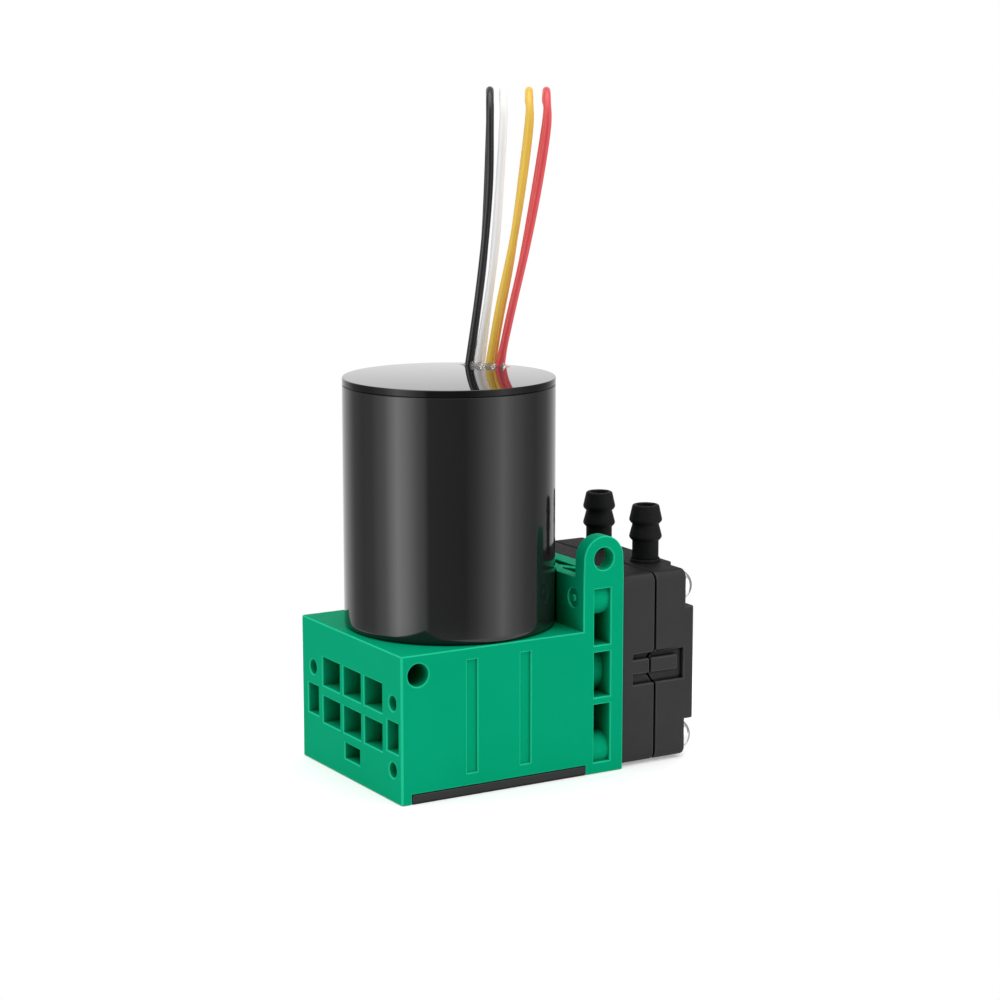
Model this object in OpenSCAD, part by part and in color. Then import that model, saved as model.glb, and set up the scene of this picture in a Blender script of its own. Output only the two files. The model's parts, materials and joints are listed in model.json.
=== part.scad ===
// Small brushless diaphragm vacuum pump. A 28 mm motor stands on a moulded bracket,
// its eccentric drives a rod along +X, and the rod flexes a rubber diaphragm against the black pump head.
// Millimetres. The origin is on the motor axis, on the underside of the bottom cover. +X runs to the pump
// head, +Z up the motor.

/* [Motor] */
// Outside diameter of the motor can
motor_d = 28; // [25:0.5:30]
// Height of the motor from its seat to the top of its lid
motor_h = 33; // [28:0.5:45]
// Sheet thickness of the can wall
can_wall = 0.8; // [0.5:0.1:1.2]
// Thickness of the can's floor
can_floor = 1; // [0.8:0.1:1.5]
// Radius of the can's lower edge
can_round = 0.9; // [0.3:0.1:1.5]
// Thickness of the lid's visible disc
lid_t = 1; // [0.8:0.1:1.5]
// Diameter of the motor shaft
shaft_d = 2.3; // [1.8:0.1:2.5]
// Diameter of the pilot boss under the can
pilot_d = 9; // [8:0.1:9.6]
// Depth of the pilot boss
pilot_h = 1.5; // [0.8:0.1:1.7]
// Outside diameter of the two motor bearings
motor_bearing_d = 7; // [6:0.1:7.4]
// Width of the two motor bearings
motor_bearing_w = 3; // [2:0.1:3.5]

/* [Bracket] */
// How far the bracket and its flange stand past the motor at the front and rear
side_over = 0; // [0:0.1:3]
// How far the end face with the windows stands past the motor
end_over = 1; // [0.6:0.1:4]
// How far the flange starts inside the motor's edge
neck_in = 1.8; // [0.6:0.1:2.4]
// Thickness of the plate that the motor stands on
top_t = 1.8; // [1.5:0.1:3]
// Height of the pump axis over the base
pump_z = 13.15; // [13:0.05:16]
// Radius of the round crank chamber
chamber_r = 9.5; // [9:0.1:9.7]
// Wall round the crank chamber
chamber_wall = 1.2; // [0.8:0.1:1.3]
// Diameter of the mounting holes
mount_d = 3; // [2.6:0.1:3.2]
// Distance of the box's mounting hole from the end face
mount_in = 2.45; // [2.2:0.05:3]
// Distance of the box's mounting hole below the box's top
mount_down = 2.64; // [2.4:0.05:3]
// Depth of the two shallow grooves in each side
groove_depth = 0.35; // [0.2:0.05:0.6]
// Width of those grooves
groove_w = 1.5; // [1:0.1:2]

/* [Flange] */
// Thickness of the flange's plate on the motor side
rear_plate = 1.7; // [1.2:0.1:2]
// Gap between the two plates of the flange
plate_gap = 2.5; // [2:0.1:4]
// Thickness of the flange's plate on the head side
front_plate = 2.05; // [1.5:0.05:2.5]
// Height of the flange's top over the pump axis
flange_rise = 13.35; // [13.1:0.05:14.5]
// Width of the mounting ears
ear_w = 6.1; // [5:0.1:6.2]
// Thickness of the mounting ears
ear_t = 2.3; // [2:0.1:4]
// Height of the ear's hole over the flange's top
ear_rise = 2.45; // [2.2:0.05:5]
// Thickness of the ribs between the plates
rib_t = 1; // [0.7:0.1:1.2]

/* [Windows] */
// Width of the bars between the windows
win_bar = 1; // [0.8:0.1:2]
// Width of the bars between the windows and the side slots
slot_bar = 1.3; // [0.8:0.1:2]
// Wall between the side slots and the bracket's sides
slot_wall = 1.35; // [1.1:0.05:2]
// Height of the windows in the upper row
win_h1 = 3.85; // [3:0.05:4.2]
// Height of the windows in the lower row
win_h2 = 3.6; // [3:0.05:4]
// Width of the upright slots at both sides
slot_w = 3; // [2:0.1:3.2]
// Height of those slots
slot_h = 4; // [3:0.1:4.4]
// Diameter of the small round pockets
pip_d = 2; // [1.4:0.1:2.4]

/* [Bottom cover] */
// Thickness of the bottom cover
cover_t = 1.3; // [1:0.1:1.6]
// Height of its locating ring inside the crank chamber
ring_h = 2.2; // [1.5:0.1:4]

/* [Crank and rod] */
// Offset of the crank pin, half the stroke
throw = 1.2; // [0.8:0.05:1.3]
// Bore of the rod's bearing
rod_bearing_bore = 6; // [5.6:0.1:6.4]
// Outside diameter of the rod's bearing
rod_bearing_d = 10; // [9.8:0.1:10.4]
// Width of the rod's bearing
rod_bearing_w = 3; // [2.5:0.1:3.5]
// Height of the crank's hub
hub_h = 2.3; // [2:0.1:3]
// Radius of the counterweight
weight_r = 8.4; // [7.5:0.1:8.6]
// Outside diameter of the rod's big end
big_end_d = 13.2; // [12.6:0.1:13.6]
// Width of the rod's arm
arm_w = 5; // [3:0.1:6]
// Height of the rod's arm
arm_h = 2.8; // [2:0.1:3]
// Diameter of the rod's foot and of the clamping disc
foot_d = 11; // [9:0.1:11.4]
// Thickness of the rod's foot
foot_t = 1.5; // [1:0.1:1.8]

/* [Diaphragm] */
// Outside diameter of the diaphragm
dia_d = 19; // [18.6:0.1:20]
// Thickness of the diaphragm's rim and centre
dia_t = 1; // [0.8:0.05:1.2]
// Diameter of the bore that the diaphragm moves in
dia_bore = 16.2; // [15.6:0.1:17]
// Thickness of the clamping disc
clamp_t = 1; // [0.8:0.05:1.1]

/* [Pump head] */
// Width of the head, front to rear
head_w = 26.8; // [25.8:0.1:27.6]
// Height of the head
head_h = 25.7; // [25.3:0.1:26]
// Length of the valve plate along the pump axis
plate_l = 5.5; // [5.2:0.05:7]
// Gap that shows as the seam between the two halves
seam_gap = 0.14; // [0.1:0.02:0.3]
// Length of the head cover at its corners
cover_l = 4.8; // [4.6:0.05:6]
// Height of the raised cross on the head cover
cross_h = 1.25; // [0.6:0.05:2]
// Room between the head screws and the upright arm of the cross
cross_room_y = 1.25; // [0.2:0.05:2]
// Room between the head screws and the level arm of the cross
cross_room_z = 0.6; // [0.2:0.05:2]
// Corner radius of the head's outline
head_r = 1.2; // [0.6:0.1:2]
// Depth of the latch recess in the front and rear
latch_depth = 0.7; // [0.4:0.05:0.9]
// Thickness of the rubber valve sheet
sheet_t = 0.8; // [0.6:0.05:1]

/* [Hose barbs] */
// Distance of the barbs from the middle, front to rear
barb_y = 5.8; // [5.4:0.1:5.9]
// Bore of the barbs
barb_bore = 2.5; // [1.8:0.1:2.8]
// Diameter of the barb's neck and rim
barb_neck = 3.6; // [3.4:0.05:3.8]
// Diameter of the barb's teeth
barb_tooth = 4.55; // [4.2:0.05:5]
// Height of the barbs
barb_h = 7.8; // [7:0.1:10]

/* [Screws] */
// Thread diameter of the head screws and motor screws
screw_d = 1.9; // [1.6:0.05:2]
// Head diameter of the head screws
screw_head_d = 3.9; // [3.4:0.1:4]
// Height of the head screws' domed heads
screw_head_h = 1.9; // [1.4:0.1:2.2]
// Distance of the head screws in from the head's front and rear
screw_in_y = 2.2; // [2.2:0.05:2.6]
// Distance of the head screws in from the head's top and bottom
screw_in_z = 2.5; // [2.5:0.05:2.85]
// Radius of the circle of the motor screws
motor_screw_r = 8; // [7:0.1:8.2]

/* [Leads] */
// Diameter of a lead over its insulation
lead_d = 1.06; // [0.8:0.02:1.2]
// Spacing of the leads in the seal
lead_pitch = 1.35; // [1.3:0.05:1.5]
// Distance of the lead seal in from the lid's edge
seal_in = 2.4; // [2.2:0.1:3]
// Direction of the lead seal, turned from +X towards the rear
seal_turn = 35; // [20:1:50]
// Spacing of the contacts in the connector
pin_pitch = 2; // [1.5:0.1:2.5]

/* [Hidden] */

$fn = 64;
cut = 1;              // overrun of a cutting tool past the face it leaves
fit = 0.02;           // radial play of a shaft in its seat
gap = 0.05;           // play between flat faces of different bodies

green = [0.04, 0.62, 0.46];
black = [0.12, 0.12, 0.13];
dark = [0.22, 0.22, 0.23];
steel = [0.75, 0.76, 0.78];
rubber = [0.1, 0.1, 0.1];
copper = [0.72, 0.4, 0.2];

// Heights, from the base up
pin_top = pump_z + rod_bearing_w / 2;      // top of the rod's bearing
shoulder_h = 0.4;                          // step between the bearing and the counterweight
hub_z = pin_top + shoulder_h;              // underside of the hub and counterweight
hub_top = hub_z + hub_h;
hub_play = 0.35;                           // running gap between the hub and the bracket's top plate
plate_z = hub_top + hub_play;              // underside of the top plate
box_h = plate_z + top_t;                   // top of the box, where the motor stands
motor_top = box_h + motor_h;
can_top = motor_top - lid_t;

// Outline of the bracket, from the motor's size
can_r = motor_d / 2;
half_w = can_r + side_over;
body_w = 2 * half_w;
end_x = can_r + end_over;                  // distance of the end face from the motor axis
neck_x = can_r - neck_in;                  // start of the flange

// Places along the pump axis
gap_x = neck_x + rear_plate;               // start of the gap between the flange's plates
front_x = gap_x + plate_gap;               // start of the flange's plate on the head side
flange_x = front_x + front_plate;          // face that the head bolts to
ear_x = (neck_x + flange_x) / 2;           // middle of the ears, where a long pin clears the motor
flange_top = pump_z + flange_rise;
seam_x = flange_x + plate_l;               // end of the valve plate
cover_x = seam_x + seam_gap;               // start of the head cover
corner_x = cover_x + cover_l;              // screw seats on the cover
cross_x = corner_x + cross_h;              // outer face of the raised cross

// Head screws and the arms of the cross between them
screw_y = head_w / 2 - screw_in_y;
screw_z = head_h / 2 - screw_in_z;
cross_w = 2 * (screw_y - screw_head_d / 2 - cross_room_y);
cross_z = 2 * (screw_z - screw_head_d / 2 - cross_room_z);

// Diaphragm stack at rest, with the crank pin turned away from the head
rest_back = throw;                         // how far the centre sits behind the clamped rim
pad_x = flange_x - rest_back;              // back of the diaphragm's centre
clamp_x = pad_x + dia_t;                   // back of the clamping disc
foot_x = pad_x - foot_t;                   // back of the rod's foot
pin_x = -throw;                            // crank pin at rest
dia_seat = flange_x + dia_t;               // floor of the rim's seat in the valve plate
dome_end = clamp_x + clamp_t + 2 * throw + 0.25;   // end of the pump chamber, 0.25 past the full stroke

// Motor insides
bore_r = can_r - can_wall;                 // inside of the can
shaft_r = shaft_d / 2;
mb_r = motor_bearing_d / 2;
lower_z = box_h - pilot_h + 1;             // seat of the lower bearing, on a 1 mm lip
bell_z = can_top - 7;                      // underside of the end bell
bell_t = 1.6;
upper_z = bell_z + 0.6;                    // seat of the upper bearing
board_z = can_top - 3.4;
board_t = 1;
stator_z = lower_z + motor_bearing_w + 4.6;
stator_h = bell_z - stator_z - 4.4;
stator_r = bore_r - fit;
yoke = 1.8;                                // radial thickness of the stator's outer ring
slot_depth = 3.78;                         // radial depth of the stator's slots
tooth_r = stator_r - yoke - slot_depth;    // radius of the tooth faces
tooth_w = 2.6;
shoe_t = 1;                                // radial thickness of a tooth's shoe
shoe_angle = 24;                           // half angle that a shoe spans
teeth = 6;
air_gap = 0.6;
magnet_r = tooth_r - air_gap;
magnet_t = 2;
rotor_over = 0.8;                          // how far the magnet stands past the stator at each end
shaft_top = upper_z + motor_bearing_w + 0.5;
shaft_end = pump_z - rod_bearing_w / 2;    // lower end of the shaft, inside the crank pin
cup_wall = 1.2;                            // wall round a motor bearing, and lip under it
bell_hub_r = mb_r + cup_wall;              // outside of the end bell's bearing cup
bell_rim = 2.45;                           // web left on both sides of the end bell's round vents
vent_r = (bore_r - bell_hub_r) / 2 - bell_rim;
board_r = bore_r - 0.3;                    // outside of the driver board
board_hole = mb_r + 1.4;                   // radius of its hole round the bearing
board_mid = (board_r + board_hole) / 2;
chip_w = 5;                                // side of the square driver chip
chip_t = 0.9;
cap_part_r = 1.1;                          // radius of the round capacitors
sensor_l = 1.6;
sensor_w = 2;
sensor_t = 0.7;
board_ring = 0.8;                          // wall of the ring that the board stands on
coil_in = 0.15;                            // play between a coil and its tooth
coil_t = 1.15;                             // thickness of a coil
coil_l = slot_depth - 1.6;                 // length of a coil along its tooth

// Lead seal and connector
seal_half = 1.5 * lead_pitch + lead_d / 2; // half length of the slot, to the centre of its round ends
slot_half = 0.85;                          // half width of the slot
seal_deep = 1.2;                           // depth of the sealant under the lid's disc
bead_h = 0.5;                              // height of the sealant over the lid
lead_z = motor_top + bead_h;               // where the leads leave the sealant
seal_r = can_r - seal_in;                  // distance of the seal from the motor axis
seal_x = seal_r * cos(seal_turn);
seal_y = seal_r * sin(seal_turn);
con_x = 2;                                 // face of the connector that the leads enter
con_l = 8;
socket_l = 3;                              // depth of the sockets in its contacts
con_y = 21;                                // middle of the connector
con_z = 2.2;                               // height of the contacts over the base
con_h = 2 * con_z;
con_w = 3 * pin_pitch + 2.8;

// Routes of the four leads: up out of the seal, over an arch to the rear, down behind the bracket and
// along the base to the connector. The first point is in the seal's top face, the last in the connector.
black_route = [
    [8, 8.5, 53], [8.2, 8.4, 54.5], [9, 7.9, 61], [9.8, 7.4, 69], [10.4, 7.2, 77],
    [10.5, 7.2, 84.3], [11.2, 8.4, 87.7], [12.9, 11.3, 89], [14.6, 14.2, 87.7], [15.3, 15.4, 84.3],
    [14.5, 15.6, 67], [13, 16.6, 52], [13.4, 20, 34], [14, 23.5, 16], [14.2, 24, 7],
    [13, 24, 2.6], [10, 24, 0.8], [6.5, 24, 0.8], [4, 24, 2.2], [2, 24, 2.2]];
white_route = [
    [8.8, 7.55, 53], [9, 7.45, 54.5], [9.95, 6.85, 61], [10.8, 6.2, 69], [11.3, 5.9, 77],
    [11.7, 5.7, 84.3], [12.4, 6.9, 87.7], [14.1, 9.8, 89], [15.8, 12.7, 87.7], [16.5, 13.9, 84.3],
    [15.4, 14.4, 67], [14, 15.4, 52], [14.2, 18.5, 34], [15, 21.6, 16], [15.2, 22, 7],
    [14, 22, 2.6], [11, 22, 0.8], [6.5, 22, 0.8], [4, 22, 2.2], [2, 22, 2.2]];
yellow_route = [
    [9.8, 6.1, 53], [10, 6, 54.5], [11, 5.4, 61], [12.5, 4.6, 69], [13.6, 3.9, 77],
    [14.4, 3.5, 84.3], [15.1, 4.7, 87.7], [16.8, 7.6, 89], [18.5, 10.5, 87.7], [19.2, 11.7, 84.3],
    [17.35, 12.9, 67], [15.25, 14.4, 52], [15.3, 17, 34], [16, 19.7, 16], [16.2, 20, 7],
    [15, 20, 2.6], [12, 20, 0.8], [6.5, 20, 0.8], [4, 20, 2.2], [2, 20, 2.2]];
red_route = [
    [10.7, 5, 53], [11, 4.8, 54.5], [12.2, 4, 61], [13.8, 3.1, 69], [15.2, 2.4, 77],
    [16.1, 1.8, 84.3], [16.8, 3, 87.7], [18.5, 5.9, 89], [20.2, 8.8, 87.7], [20.9, 10, 84.3],
    [18.4, 11.4, 67], [15.9, 13.2, 52], [16.5, 16, 34], [17, 17.8, 16], [17.2, 18, 7],
    [16, 18, 2.6], [13, 18, 0.8], [6.5, 18, 0.8], [4, 18, 2.2], [2, 18, 2.2]];

// A box from its two corners
module block(low, high) {
    translate(low) cube(high - low);
}

// A cylinder along X from x to x + l, its axis at y, z
module rod_x(x, y, z, r, l) {
    translate([x, y, z]) rotate([0, 90, 0]) cylinder(r = r, h = l);
}

// A cylinder along Y from y to y + l, its axis at x, z
module rod_y(x, y, z, r, l) {
    translate([x, y, z]) rotate([-90, 0, 0]) cylinder(r = r, h = l);
}

// A plate across X: a rectangle of w by h round the pump axis with round corners
module plate_x(x, l, w, h, r) {
    translate([x, 0, pump_z]) rotate([90, 0, 90]) linear_extrude(l) {
        square([w - 2 * r, h], center = true);
        square([w, h - 2 * r], center = true);
        for (sy = [-1, 1], sz = [-1, 1])
            translate([sy * (w / 2 - r), sz * (h / 2 - r)]) circle(r = r);
    }
}

// A profile of [radius, place] points turned round the pump axis
module turn_x(points) {
    translate([0, 0, pump_z]) rotate([0, 90, 0]) rotate_extrude() polygon(points);
}

// The four corners of the head screws
module at_screws() {
    for (sy = [-1, 1], sz = [-1, 1]) translate([0, sy * screw_y, pump_z + sz * screw_z]) children();
}

// A straight slot with round ends, along the local Y
module seal_slot(half_l, half_w, z, h) {
    translate([seal_x, seal_y, z]) rotate(seal_turn) {
        translate([-half_w, -half_l, 0]) cube([2 * half_w, 2 * half_l, h]);
        for (s = [-1, 1]) translate([0, s * half_l, 0]) cylinder(r = half_w, h = h);
    }
}

// One ball bearing on the Z axis: two grooved rings, with the balls between them on their centre line
module ball_bearing(r_in, r_out, z, w) {
    race = (r_out - r_in) * 0.28;
    mid = (r_in + r_out) / 2;
    ball_r = (r_out - r_in) * 0.28;
    translate([0, 0, z]) {
        difference() {
            union() {
                tube(r_in, r_in + race, w);
                tube(r_out - race, r_out, w);
            }
            translate([0, 0, w / 2]) rotate_extrude() translate([mid, 0]) circle(r = ball_r + fit, $fn = 32);
        }
        for (i = [0:6]) rotate(i * 360 / 7) translate([mid, 0, w / 2]) sphere(r = ball_r, $fn = 24);
    }
}

module tube(r_in, r_out, h) {
    difference() {
        cylinder(r = r_out, h = h);
        translate([0, 0, -cut]) cylinder(r = r_in, h = h + 2 * cut);
    }
}

// Window pattern of the end face. It is moulded a little to the front of the middle.
pattern_y = -0.4;
row_1 = box_h - 6.5;
row_2 = row_1 - 5.2;
row_3 = row_1 - 9.4;
row_3_h = 2.1;
row_3_w = 4.2;
pip_drop = 8.8;                            // lower round pocket, under the upper row
side_y = half_w - slot_wall - slot_w / 2;  // middle of the side slots
win_w = (2 * (side_y - slot_w / 2 - slot_bar) - 2 * win_bar) / 3;
win_pitch = win_w + win_bar;
pocket_depth = end_x - chamber_r - chamber_wall;
side_depth = 7;

// A box pocket sunk into the end face, its middle at y, z
module pocket(y, z, w, h, depth) {
    block([-end_x - cut, y - w / 2, z - h / 2], [-end_x + depth, y + w / 2, z + h / 2]);
}

module end_windows() {
    for (c = [-1:1]) {
        pocket(pattern_y + c * win_pitch, row_1, win_w, win_h1, pocket_depth);
        pocket(pattern_y + c * win_pitch, row_2, win_w, win_h2, pocket_depth);
    }
    pocket(pattern_y, row_3, row_3_w, row_3_h, pocket_depth);
    for (s = [-1, 1]) {
        pocket(pattern_y + s * side_y, row_2 + 0.75, slot_w, slot_h, side_depth);
        rod_x(-end_x - cut, pattern_y + s * side_y, row_1, pip_d / 2, side_depth + cut);
    }
    rod_x(-end_x - cut, pattern_y - side_y, row_1 - pip_drop, pip_d / 2, side_depth + cut);
}

// Passage that joins the crank chamber to the diaphragm's bore
pass_w = 13;
pass_low = pump_z - arm_h / 2 - 2.4;
bar = 1.55;           // bars that close the window between the plates at the bottom and under the ear
rib_up = 3.8;         // middle of the upper rib over the pump axis
rib_down = 3.25;      // middle of the lower rib under it
rib_in = 8;           // how near the ribs come to the middle
brace_h = 1.3;        // height of the slanted stiffeners
brace_l = 8;
brace_pitch = 5.6;
brace_angle = 26;
boss_r = 2.4;
lug_r = 3.7;          // lugs beside the diaphragm's bore, and how far they stay in from the sides
lug_in = 2;
eject_r = 1.25;
eject_pip = 0.5;
eject_in = 2.65;      // ejector marks, in from the bracket's sides
saddle_r = can_r + 0.15;
saddle_wall = 1.1;
bore_x = saddle_r + saddle_wall + 0.05;    // start of the diaphragm's bore, clear of the motor's saddle

module flange_hollow() {
    difference() {
        block([gap_x, -half_w - cut, bar], [front_x, half_w + cut, flange_top + cut]);
        rod_x(gap_x, 0, pump_z, dia_bore / 2 + 1.6, plate_gap);
        // saddle wall that keeps the gap closed where the motor reaches into the flange
        translate([0, 0, bar]) cylinder(r = saddle_r + saddle_wall, h = flange_top);
        at_screws() rod_x(gap_x, 0, 0, boss_r, plate_gap);
        for (s = [-1, 1]) {
            for (z = [rib_up, -rib_down])
                block([gap_x, min(s * half_w, s * rib_in), pump_z + z - rib_t / 2],
                      [front_x, max(s * half_w, s * rib_in), pump_z + z + rib_t / 2]);
            block([gap_x, min(s * half_w, s * (half_w - ear_t)), flange_top - bar],
                  [front_x, max(s * half_w, s * (half_w - ear_t)), flange_top + 2 * cut]);
            rod_x(gap_x, s * (half_w - lug_in - lug_r), pump_z + 0.3, lug_r, plate_gap);
        }
        // slanted stiffeners that show between the plates from above
        for (i = [-1:1]) translate([(gap_x + front_x) / 2, i * brace_pitch, flange_top - brace_h])
            rotate(i == 0 ? -brace_angle : brace_angle)
                translate([-rib_t / 2, -brace_l / 2, 0]) cube([rib_t, brace_l, brace_h]);
    }
}

module pump_bracket() color(green) {
    cover_low = neck_x + 0.45;             // the bottom cover runs under the first part of the flange
    difference() {
        union() {
            block([-end_x, -half_w, 0], [neck_x, half_w, box_h]);
            block([neck_x, -half_w, 0], [flange_x, half_w, flange_top]);
            for (s = [-1, 1]) {
                y = s > 0 ? half_w - ear_t : -half_w;
                rod_y(ear_x, y, flange_top + ear_rise, ear_w / 2, ear_t);
                // the ear's sides widen down to the flange
                translate([ear_x, y + ear_t, flange_top]) rotate([90, 0, 0]) linear_extrude(ear_t)
                    polygon([[neck_x - ear_x, -bar], [flange_x - ear_x, -bar],
                             [flange_x - ear_x, 0], [ear_w / 2, ear_rise], [-ear_w / 2, ear_rise],
                             [neck_x - ear_x, 0]]);
            }
        }
        // seat of the bottom cover, open to the front and rear
        block([-end_x + 1.5, -half_w - cut, -cut], [cover_low, half_w + cut, cover_t]);
        // crank chamber, the pilot's hole and the passage to the diaphragm
        translate([0, 0, -cut]) cylinder(r = chamber_r, h = plate_z + cut);
        translate([0, 0, plate_z - cut]) cylinder(r = pilot_d / 2 + fit, h = top_t + 2 * cut);
        block([5, -pass_w / 2, pass_low], [bore_x + cut, pass_w / 2, plate_z]);
        rod_x(bore_x, 0, pump_z, dia_bore / 2, flange_x - bore_x + cut);
        // round seat that clears the motor
        translate([0, 0, box_h]) cylinder(r = saddle_r, h = flange_top);
        flange_hollow();
        end_windows();
        // mounting holes
        rod_y(-end_x + mount_in, -half_w - cut, box_h - mount_down, mount_d / 2, body_w + 2 * cut);
        rod_y(ear_x, -half_w - cut, flange_top + ear_rise, mount_d / 2, body_w + 2 * cut);
        // grooves in both sides
        for (x = [-4.65, 3.35], s = [-1, 1])
            block([x - groove_w / 2, s * half_w - groove_depth, 3],
                  [x + groove_w / 2, s * half_w + groove_depth, box_h - 1.6]);
        // holes of the motor screws, countersunk from below
        for (s = [-1, 1]) translate([0, s * motor_screw_r, plate_z]) {
            translate([0, 0, -cut]) cylinder(r = screw_d / 2 + 0.1, h = top_t + 2 * cut);
            countersink(0.05);
        }
        // pilot holes of the head screws
        at_screws() rod_x(neck_x + 0.9, 0, 0, screw_d / 2 + fit, flange_x);
        // ejector marks on the plate behind the motor
        for (s = [-1, 1]) translate([neck_x - cut, s * (half_w - eject_in), flange_top - 2.9])
            rotate([0, 90, 0]) tube(eject_pip, eject_r, cut + 0.3);
    }
}

// Cone of a countersunk head, its wide end at Z 0
module countersink(play) {
    cone_r = screw_d / 2 + 0.95 + play;
    rotate_extrude() polygon([[0, 0], [cone_r, 0], [screw_d / 2 + play, 0.95], [0, 0.95]]);
}

module bottom_cover() color(dark) {
    play = 0.05;
    block([-end_x + 1.5 + play, -half_w, 0], [neck_x + 0.45 - play, half_w, cover_t - play]);
    translate([0, 0, cover_t - play]) tube(chamber_r - 1.4, chamber_r - play, ring_h);
}

module motor_can() color(black) {
    lip = 1;
    r_lip = mb_r - cup_wall;
    translate([0, 0, box_h]) difference() {
        rotate_extrude() {
            difference() {
                union() {
                    translate([0, can_round]) square([can_r, motor_h - lid_t - can_round]);
                    square([can_r - can_round, can_round]);
                    translate([can_r - can_round, can_round]) circle(r = can_round);
                    translate([0, -pilot_h]) square([pilot_d / 2, pilot_h]);
                }
                translate([mb_r + 1.1, can_floor]) square([bore_r - mb_r - 1.1, motor_h]);
                translate([-1, -pilot_h - 1]) square([r_lip + 1, motor_h + pilot_h + 2]);
                translate([0, -pilot_h + lip]) square([mb_r, motor_h + pilot_h]);
                translate([0, -pilot_h + lip + motor_bearing_w])
                    square([mb_r + cup_wall, motor_h + pilot_h]);
                translate([-motor_d, -motor_d]) square([motor_d, 3 * motor_d]);
            }
        }
        for (s = [-1, 1]) translate([0, s * motor_screw_r, -cut])
            cylinder(r = screw_d / 2 + fit, h = can_floor + 2 * cut);
    }
}

module motor_lid() color(black) {
    groove = 0.3;                          // shadow groove under the lid's edge
    plug_h = 1.4;
    difference() {
        translate([0, 0, can_top]) rotate_extrude() polygon([
            [0, -plug_h], [bore_r - fit, -plug_h], [bore_r - fit, 0], [can_r - groove, 0],
            [can_r - groove, 0.18], [can_r, 0.3], [can_r, lid_t - 0.12], [can_r - 0.12, lid_t], [0, lid_t]]);
        seal_slot(seal_half, slot_half, can_top - plug_h - cut, lid_t + plug_h + 2 * cut);
    }
}

module motor_end_bell() color(steel) translate([0, 0, bell_z]) difference() {
    union() {
        cylinder(r = bore_r - fit, h = bell_t);
        cylinder(r = bell_hub_r, h = motor_bearing_w + 0.6);
    }
    translate([0, 0, 0.6]) cylinder(r = mb_r, h = motor_bearing_w + cut);
    translate([0, 0, -cut]) cylinder(r = mb_r - cup_wall, h = bell_t + cut);
    for (i = [0:teeth - 1]) rotate(i * 360 / teeth)
        translate([(bore_r + bell_hub_r) / 2, 0, -cut]) cylinder(r = vent_r, h = bell_t + 2 * cut);
}

module stator_core() color(steel) translate([0, 0, stator_z]) linear_extrude(stator_h) {
    difference() {
        circle(r = stator_r);
        circle(r = stator_r - yoke);
    }
    for (i = [0:teeth - 1]) rotate(i * 360 / teeth) {
        translate([tooth_r + 0.8, -tooth_w / 2]) square([slot_depth - 0.4, tooth_w]);
        intersection() {
            difference() {
                circle(r = tooth_r + shoe_t);
                circle(r = tooth_r);
            }
            polygon([[0, 0], for (s = [-1, 1]) 2 * tooth_r * [1, s * tan(shoe_angle)]]);
        }
    }
}

// One wound coil round each tooth, as a rounded frame that clears the iron
module stator_windings() color(copper) for (i = [0:teeth - 1]) rotate(i * 360 / teeth)
    translate([tooth_r + shoe_t + 0.3, 0, stator_z + stator_h / 2])
        rotate([90, 0, 90]) linear_extrude(coil_l) difference() {
            square([tooth_w + 2 * (coil_in + coil_t), stator_h + 2 * (coil_in + coil_t)], center = true);
            square([tooth_w + 2 * coil_in, stator_h + 2 * coil_in], center = true);
        }

// Round circuit board under the lid, with the driver chip, two capacitors and three sensors
module driver_board() color([0.1, 0.35, 0.2]) translate([0, 0, board_z]) {
    difference() {
        cylinder(r = board_r, h = board_t);
        translate([0, 0, -cut]) cylinder(r = board_hole, h = board_t + 2 * cut);
    }
    translate([-board_mid - chip_w / 2, -chip_w / 2, board_t]) cube([chip_w, chip_w, chip_t]);
    for (a = [110, 150]) rotate(a) translate([board_mid, 0, board_t]) cylinder(r = cap_part_r, h = chip_t);
    for (a = [-90, -50, -10]) rotate(a)
        translate([board_mid - sensor_l / 2, -sensor_w / 2, board_t]) cube([sensor_l, sensor_w, sensor_t]);
    // standing ring that holds the board over the end bell
    ring_l = board_z - bell_z - bell_t;
    translate([0, 0, -ring_l]) tube(board_r - board_ring, board_r, ring_l);
}

module lower_bearing() color(steel) ball_bearing(shaft_r + fit, mb_r - fit, lower_z, motor_bearing_w);

module upper_bearing() color(steel) ball_bearing(shaft_r + fit, mb_r - fit, upper_z, motor_bearing_w);

module motor_screws() color(steel)
    for (s = [-1, 1]) translate([0, s * motor_screw_r, plate_z]) difference() {
        union() {
            cylinder(r = screw_d / 2, h = top_t + can_floor);
            countersink(0);
        }
        for (a = [0, 90]) rotate(a) block([-0.9, -0.18, -cut], [0.9, 0.18, 0.5]);
    }

module lead_seal() color([0.5, 0.48, 0.47]) {
    seal_slot(seal_half, slot_half - fit, can_top - seal_deep, lid_t + seal_deep + 0.1);
    seal_slot(seal_half + 0.3, slot_half + 0.15, motor_top, bead_h / 2);
    seal_slot(seal_half + 0.1, slot_half - 0.1, motor_top + bead_h / 2, bead_h / 2);
}

module motor_shaft() color(steel) translate([0, 0, shaft_end])
    cylinder(r = shaft_r, h = shaft_top - shaft_end);

module rotor_core() color(steel) translate([0, 0, stator_z - rotor_over])
    tube(shaft_r + fit, magnet_r - magnet_t, stator_h + 2 * rotor_over);

module rotor_magnet() color([0.3, 0.3, 0.32]) translate([0, 0, stator_z - rotor_over])
    tube(magnet_r - magnet_t + fit, magnet_r, stator_h + 2 * rotor_over);

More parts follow.
